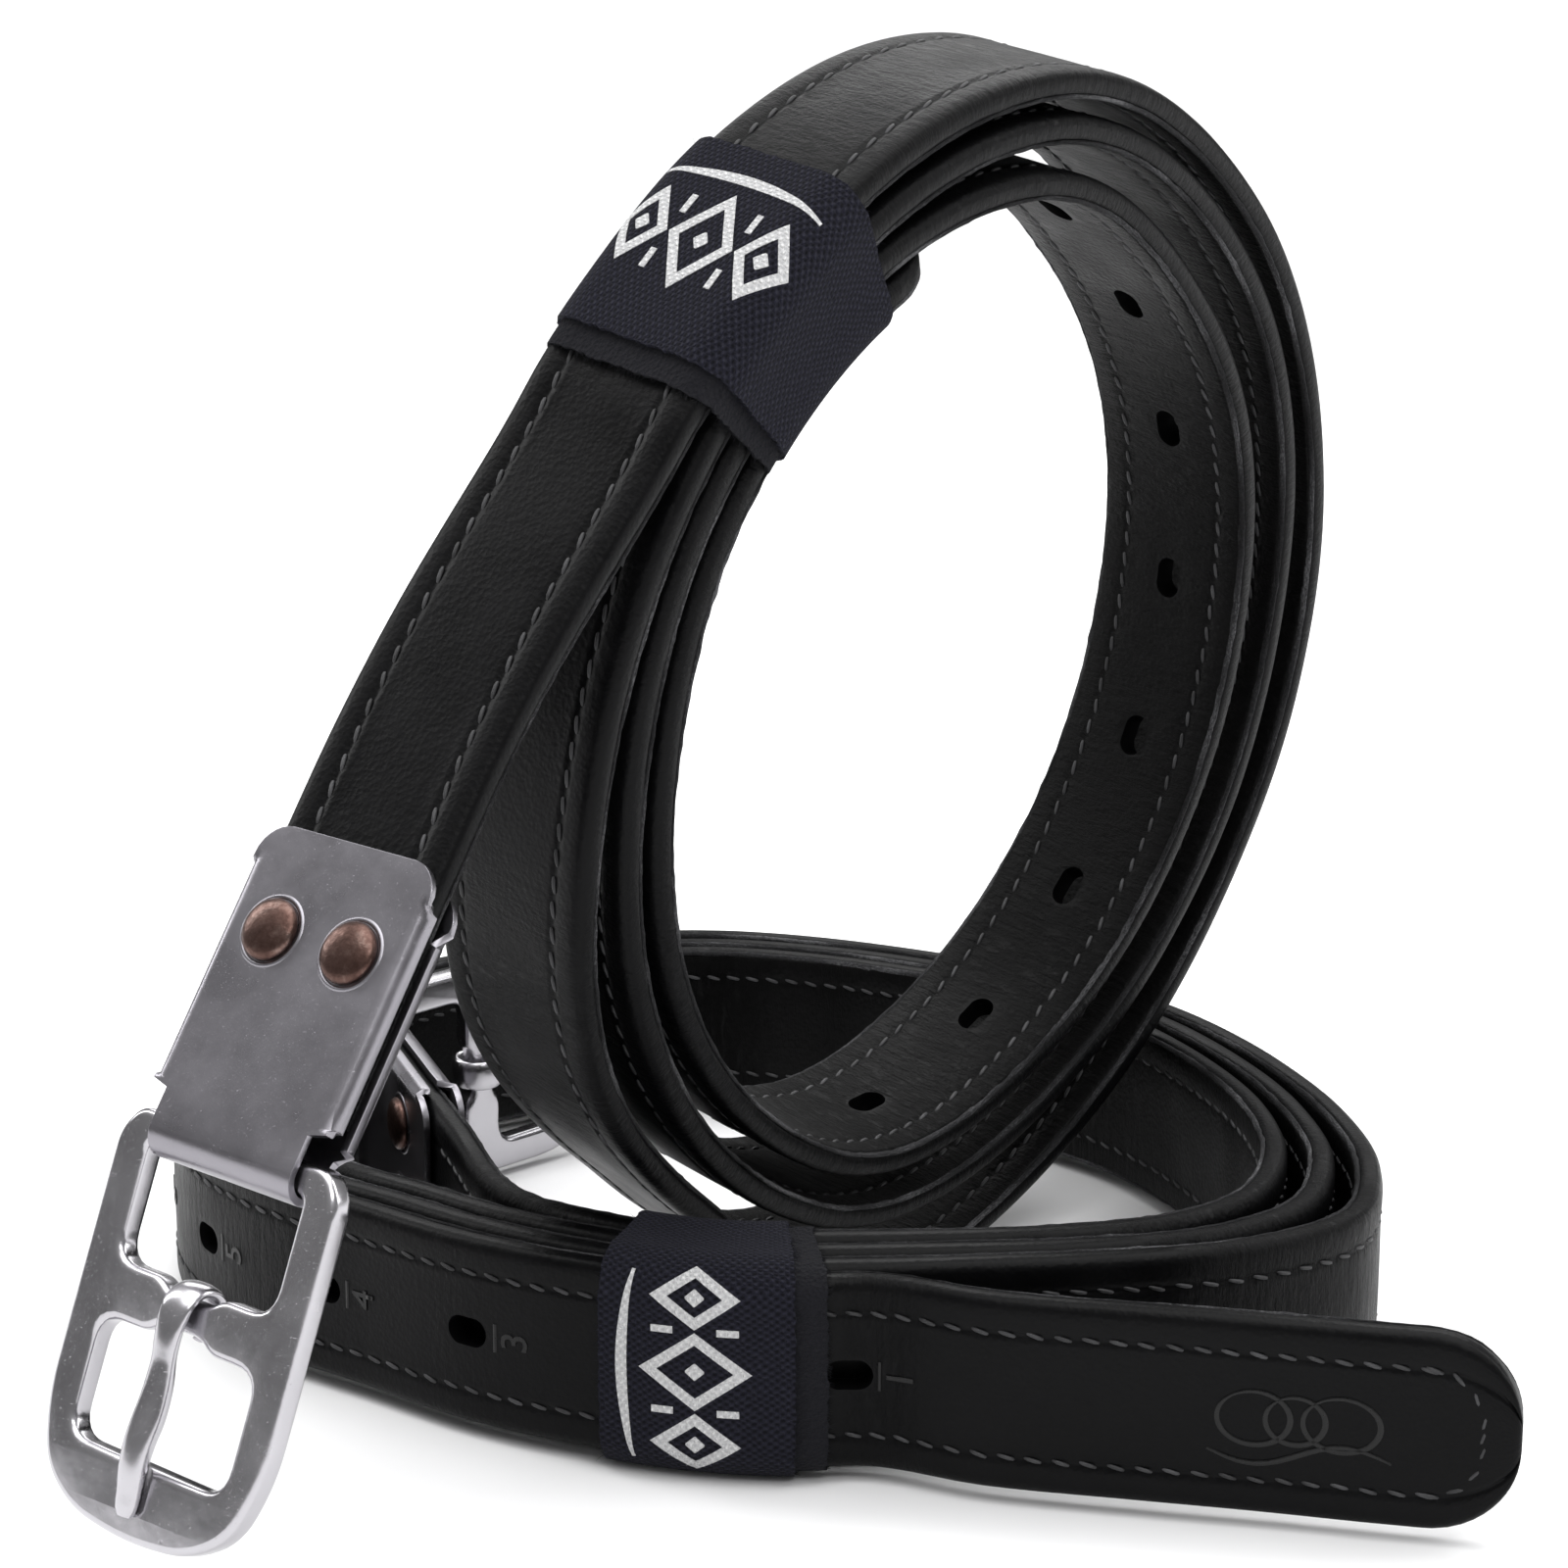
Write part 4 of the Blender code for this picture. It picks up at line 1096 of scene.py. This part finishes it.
def lozenge(x, rx, ry, width):
    """Closed strip round a lozenge, two points per station."""
    corners = np.array([(0, -ry), (rx, 0), (0, ry), (-rx, 0), (0, -ry)], float)
    k = np.linspace(0, 1, 10, endpoint=False)[:, None]
    line = np.concatenate([a + k * (b - a) for a, b in zip(corners[:-1], corners[1:])] + [corners[-1:]])
    grow = 0.5 * width * math.hypot(rx, ry) / (rx * ry)
    return (np.stack([line * (1 - grow), line * (1 + grow)], 1) + (x, 0.0)).reshape(-1, 2)


def motif():
    """Plain decoration: three filled lozenges between short dashes, over a sweeping line."""
    k = np.linspace(0, 1, 10)
    shapes = []
    for x, rx, ry in ((-9.6, 3.3, 4.0), (0.0, 4.3, 5.2), (9.6, 3.3, 4.0)):
        shapes.append(lozenge(x, rx, ry, 1.25))
        shapes.append(stroke(np.c_[x + (k - 0.5) * 2.2, 0 * k], 2.2 * (1 - np.abs(2 * k - 1)) + 0.1))
    for x in (-5.3, 5.3):
        for y in (-3.6, 3.6):
            shapes.append(stroke(np.c_[np.full(10, x), y + (k - 0.5) * 2.4], 0.9))
    t = np.linspace(0, 1, 40)
    shapes.append(stroke(np.c_[-12.5 + 25.0 * t, -7.0 - 1.2 * np.sin(math.pi * t)],
                         0.35 + 0.9 * np.sin(math.pi * np.clip(t, 0.02, 0.98))))
    return shapes


def band(tag, strap, spans, body):
    """Pile strip against the leather and woven strip over it, with frayed edges and a figure."""
    off = 0.55
    under = Sleeve(strap, spans[0], off + 0.25, 4.0)
    rows, q, arc = under.surface(sag=0.2)
    rows = frayed(rows, 0.12, 3)
    ob = wrap(f"{tag}_band_pile", rows, q, arc, 0.5, "pile", body)
    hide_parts(f"{tag}_band_pile_wrap")
    fuzz = fibres(f"{tag}_band_pile_fuzz", rows, "pile", body, 420, 21, (0.4, 1.0))
    over = Sleeve(strap, spans[1], off + 1.1, 5.4)
    rows, q, arc = over.surface(sag=0.15)
    rows = frayed(rows, 0.08, 5)
    ob = wrap(f"{tag}_band_woven", rows, q, arc, 0.6, "weave", body)
    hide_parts(f"{tag}_band_woven_wrap")
    ends = fibres(f"{tag}_band_woven_ends", rows, "weave", body, 120, 22)
    mark = figure(f"{tag}_band_figure", over, 0.33, motif(), body)


# ---- one leather
def build(tag, strap, across_sign, swing, spans, seed):
    """One whole leather: strap, stitches, marks, buckle and band."""
    body = f"{tag}_leather"
    for name, ring, mat, nodes, slot, gap in (
            ("skin", skin_ring(), "skin", ("outer_leather", "web_core"), "black_leather", 0.0),
            ("lining", lining_ring(), "lining", ("lining_leather",), "lining_leather", 0.35)):
        mesh = strap_mesh(f"{tag}_{name}", strap, ring, seed + (3 if mat == "lining" else 0), gap)
        ob = new_object(f"{tag}_strap_{name}", mesh, mat, body)
        punch(ob, strap)
        shade(ob.data, 48)
        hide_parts(*[f"{tag}_{n}" for n in nodes])
    for label, sign in (("near", 1), ("far", -1)):
        ring = raw_ring() * np.array([sign, 1.0])
        mesh = strap_mesh(f"{tag}_raw_{label}", strap, ring, seed + 7, 0.0, 0.05)
        ob = new_object(f"{tag}_raw_edge_{label}", mesh, "raw", body)
    stitches(f"{tag}_stitches_outside", strap, 1, body)
    stitches(f"{tag}_stitches_inside", strap, -1, body)
    numerals(tag, strap, body)
    tip_ornament(tag, strap, body)
    mid, wide, out, heading = (v[0] for v in strap.place(strap.length))
    end = End(across_sign * wide, heading, out, mid)
    plate_piece(tag, end, body)
    for label, side in (("left", -1), ("right", 1)):
        rivet(tag, label, side, end, body)
    hung = end.hung(swing)
    frame_piece(tag, hung, f"{tag}_frame")
    tongue_piece(tag, hung, f"{tag}_tongue")
    band(tag, strap, spans, body)


build("lying", lying_strap(), 1, LIE["swing"], ((-106.0, -83.8), (-107.0, -87.0)), 11)
build("standing", standing_strap(), -1, STAND["swing"], ((122.5, 143.2), (120.5, 140.8)), 31)


# ---- floor, light, camera
def floor():
    """Pale floor that runs out past the horizon of the picture."""
    r = 60.0
    mesh = bpy.data.meshes.new("floor")
    mesh.from_pydata([(-r, -r, 0), (r, -r, 0), (r, r, 0), (-r, r, 0)], [], [(0, 1, 2, 3)])
    mat = Nodes("pale_floor")
    spot = mat.add("ShaderNodeTexCoord").outputs["Object"]
    tone = mat.noise(spot, 6.0, 2.0)
    mat.set(Base_Color=mat.ramp(tone, ((0.3, (0.86, 0.86, 0.865)), (0.7, (0.89, 0.89, 0.895)))),
            Roughness=0.75)
    mesh.materials.append(mat.mat)
    in_scene("floor", mesh)


def light(name, place, size, power):
    """Area light aimed at the middle of the object."""
    aim = Vector((0.0, 0.0, 0.07))
    data = bpy.data.lights.new(name, "AREA")
    data.shape, data.size, data.size_y, data.energy = "RECTANGLE", size[0], size[1], power
    ob = in_scene(name, data)
    ob.location = place
    ob.rotation_euler = (aim - Vector(place)).to_track_quat("-Z", "Y").to_euler()


def studio():
    """World that is dim at the sides and bright overhead."""
    strength = 3.8
    world = bpy.data.worlds.new("studio")
    world.use_nodes = True
    tree = world.node_tree
    sky = tree.nodes.new("ShaderNodeTexCoord")
    split = tree.nodes.new("ShaderNodeSeparateXYZ")
    rise = tree.nodes.new("ShaderNodeValToRGB")
    stops = ((0.0, 0.05), (0.4, 0.085), (0.66, 0.12), (0.80, 0.22), (0.90, 0.95), (1.0, 1.0))
    set_stops(rise.color_ramp, [(at, (value,) * 3) for at, value in stops])
    gain = tree.nodes.new("ShaderNodeMath")
    gain.operation, gain.inputs[1].default_value = "MULTIPLY", strength
    tree.links.new(sky.outputs["Generated"], split.inputs[0])
    tree.links.new(split.outputs[2], rise.inputs[0])
    tree.links.new(rise.outputs[0], gain.inputs[0])
    tree.links.new(gain.outputs[0], tree.nodes["Background"].inputs["Strength"])
    tree.nodes["Background"].inputs["Color"].default_value = (1.0, 1.0, 1.0, 1.0)
    bpy.context.scene.world = world
    bpy.context.scene.view_settings.view_transform = "Standard"


def camera():
    """Camera in front and a little above, looking down at the leathers."""
    looks_down = 13.5
    ob = in_scene("camera", bpy.data.cameras.new("camera"))
    ob.data.sensor_width, ob.data.lens = 36.0, 81.0
    ob.data.clip_start, ob.data.clip_end = 0.01, 20.0
    ob.location = (-0.0003, -0.4572, 0.1864)
    ob.rotation_euler = (math.radians(90.0 - looks_down), 0.0, 0.0)
    bpy.context.scene.camera = ob


floor()
light("left", (-1.0, 0.45, 0.75), (0.30, 0.9), 5.0)
light("right", (1.0, 0.10, 0.60), (0.30, 0.9), 4.5)
light("front", (0.35, -0.95, 1.05), (0.9, 0.25), 4.0)
light("back", (0.15, 0.95, 0.75), (1.2, 0.35), 4.5)
studio()
camera()
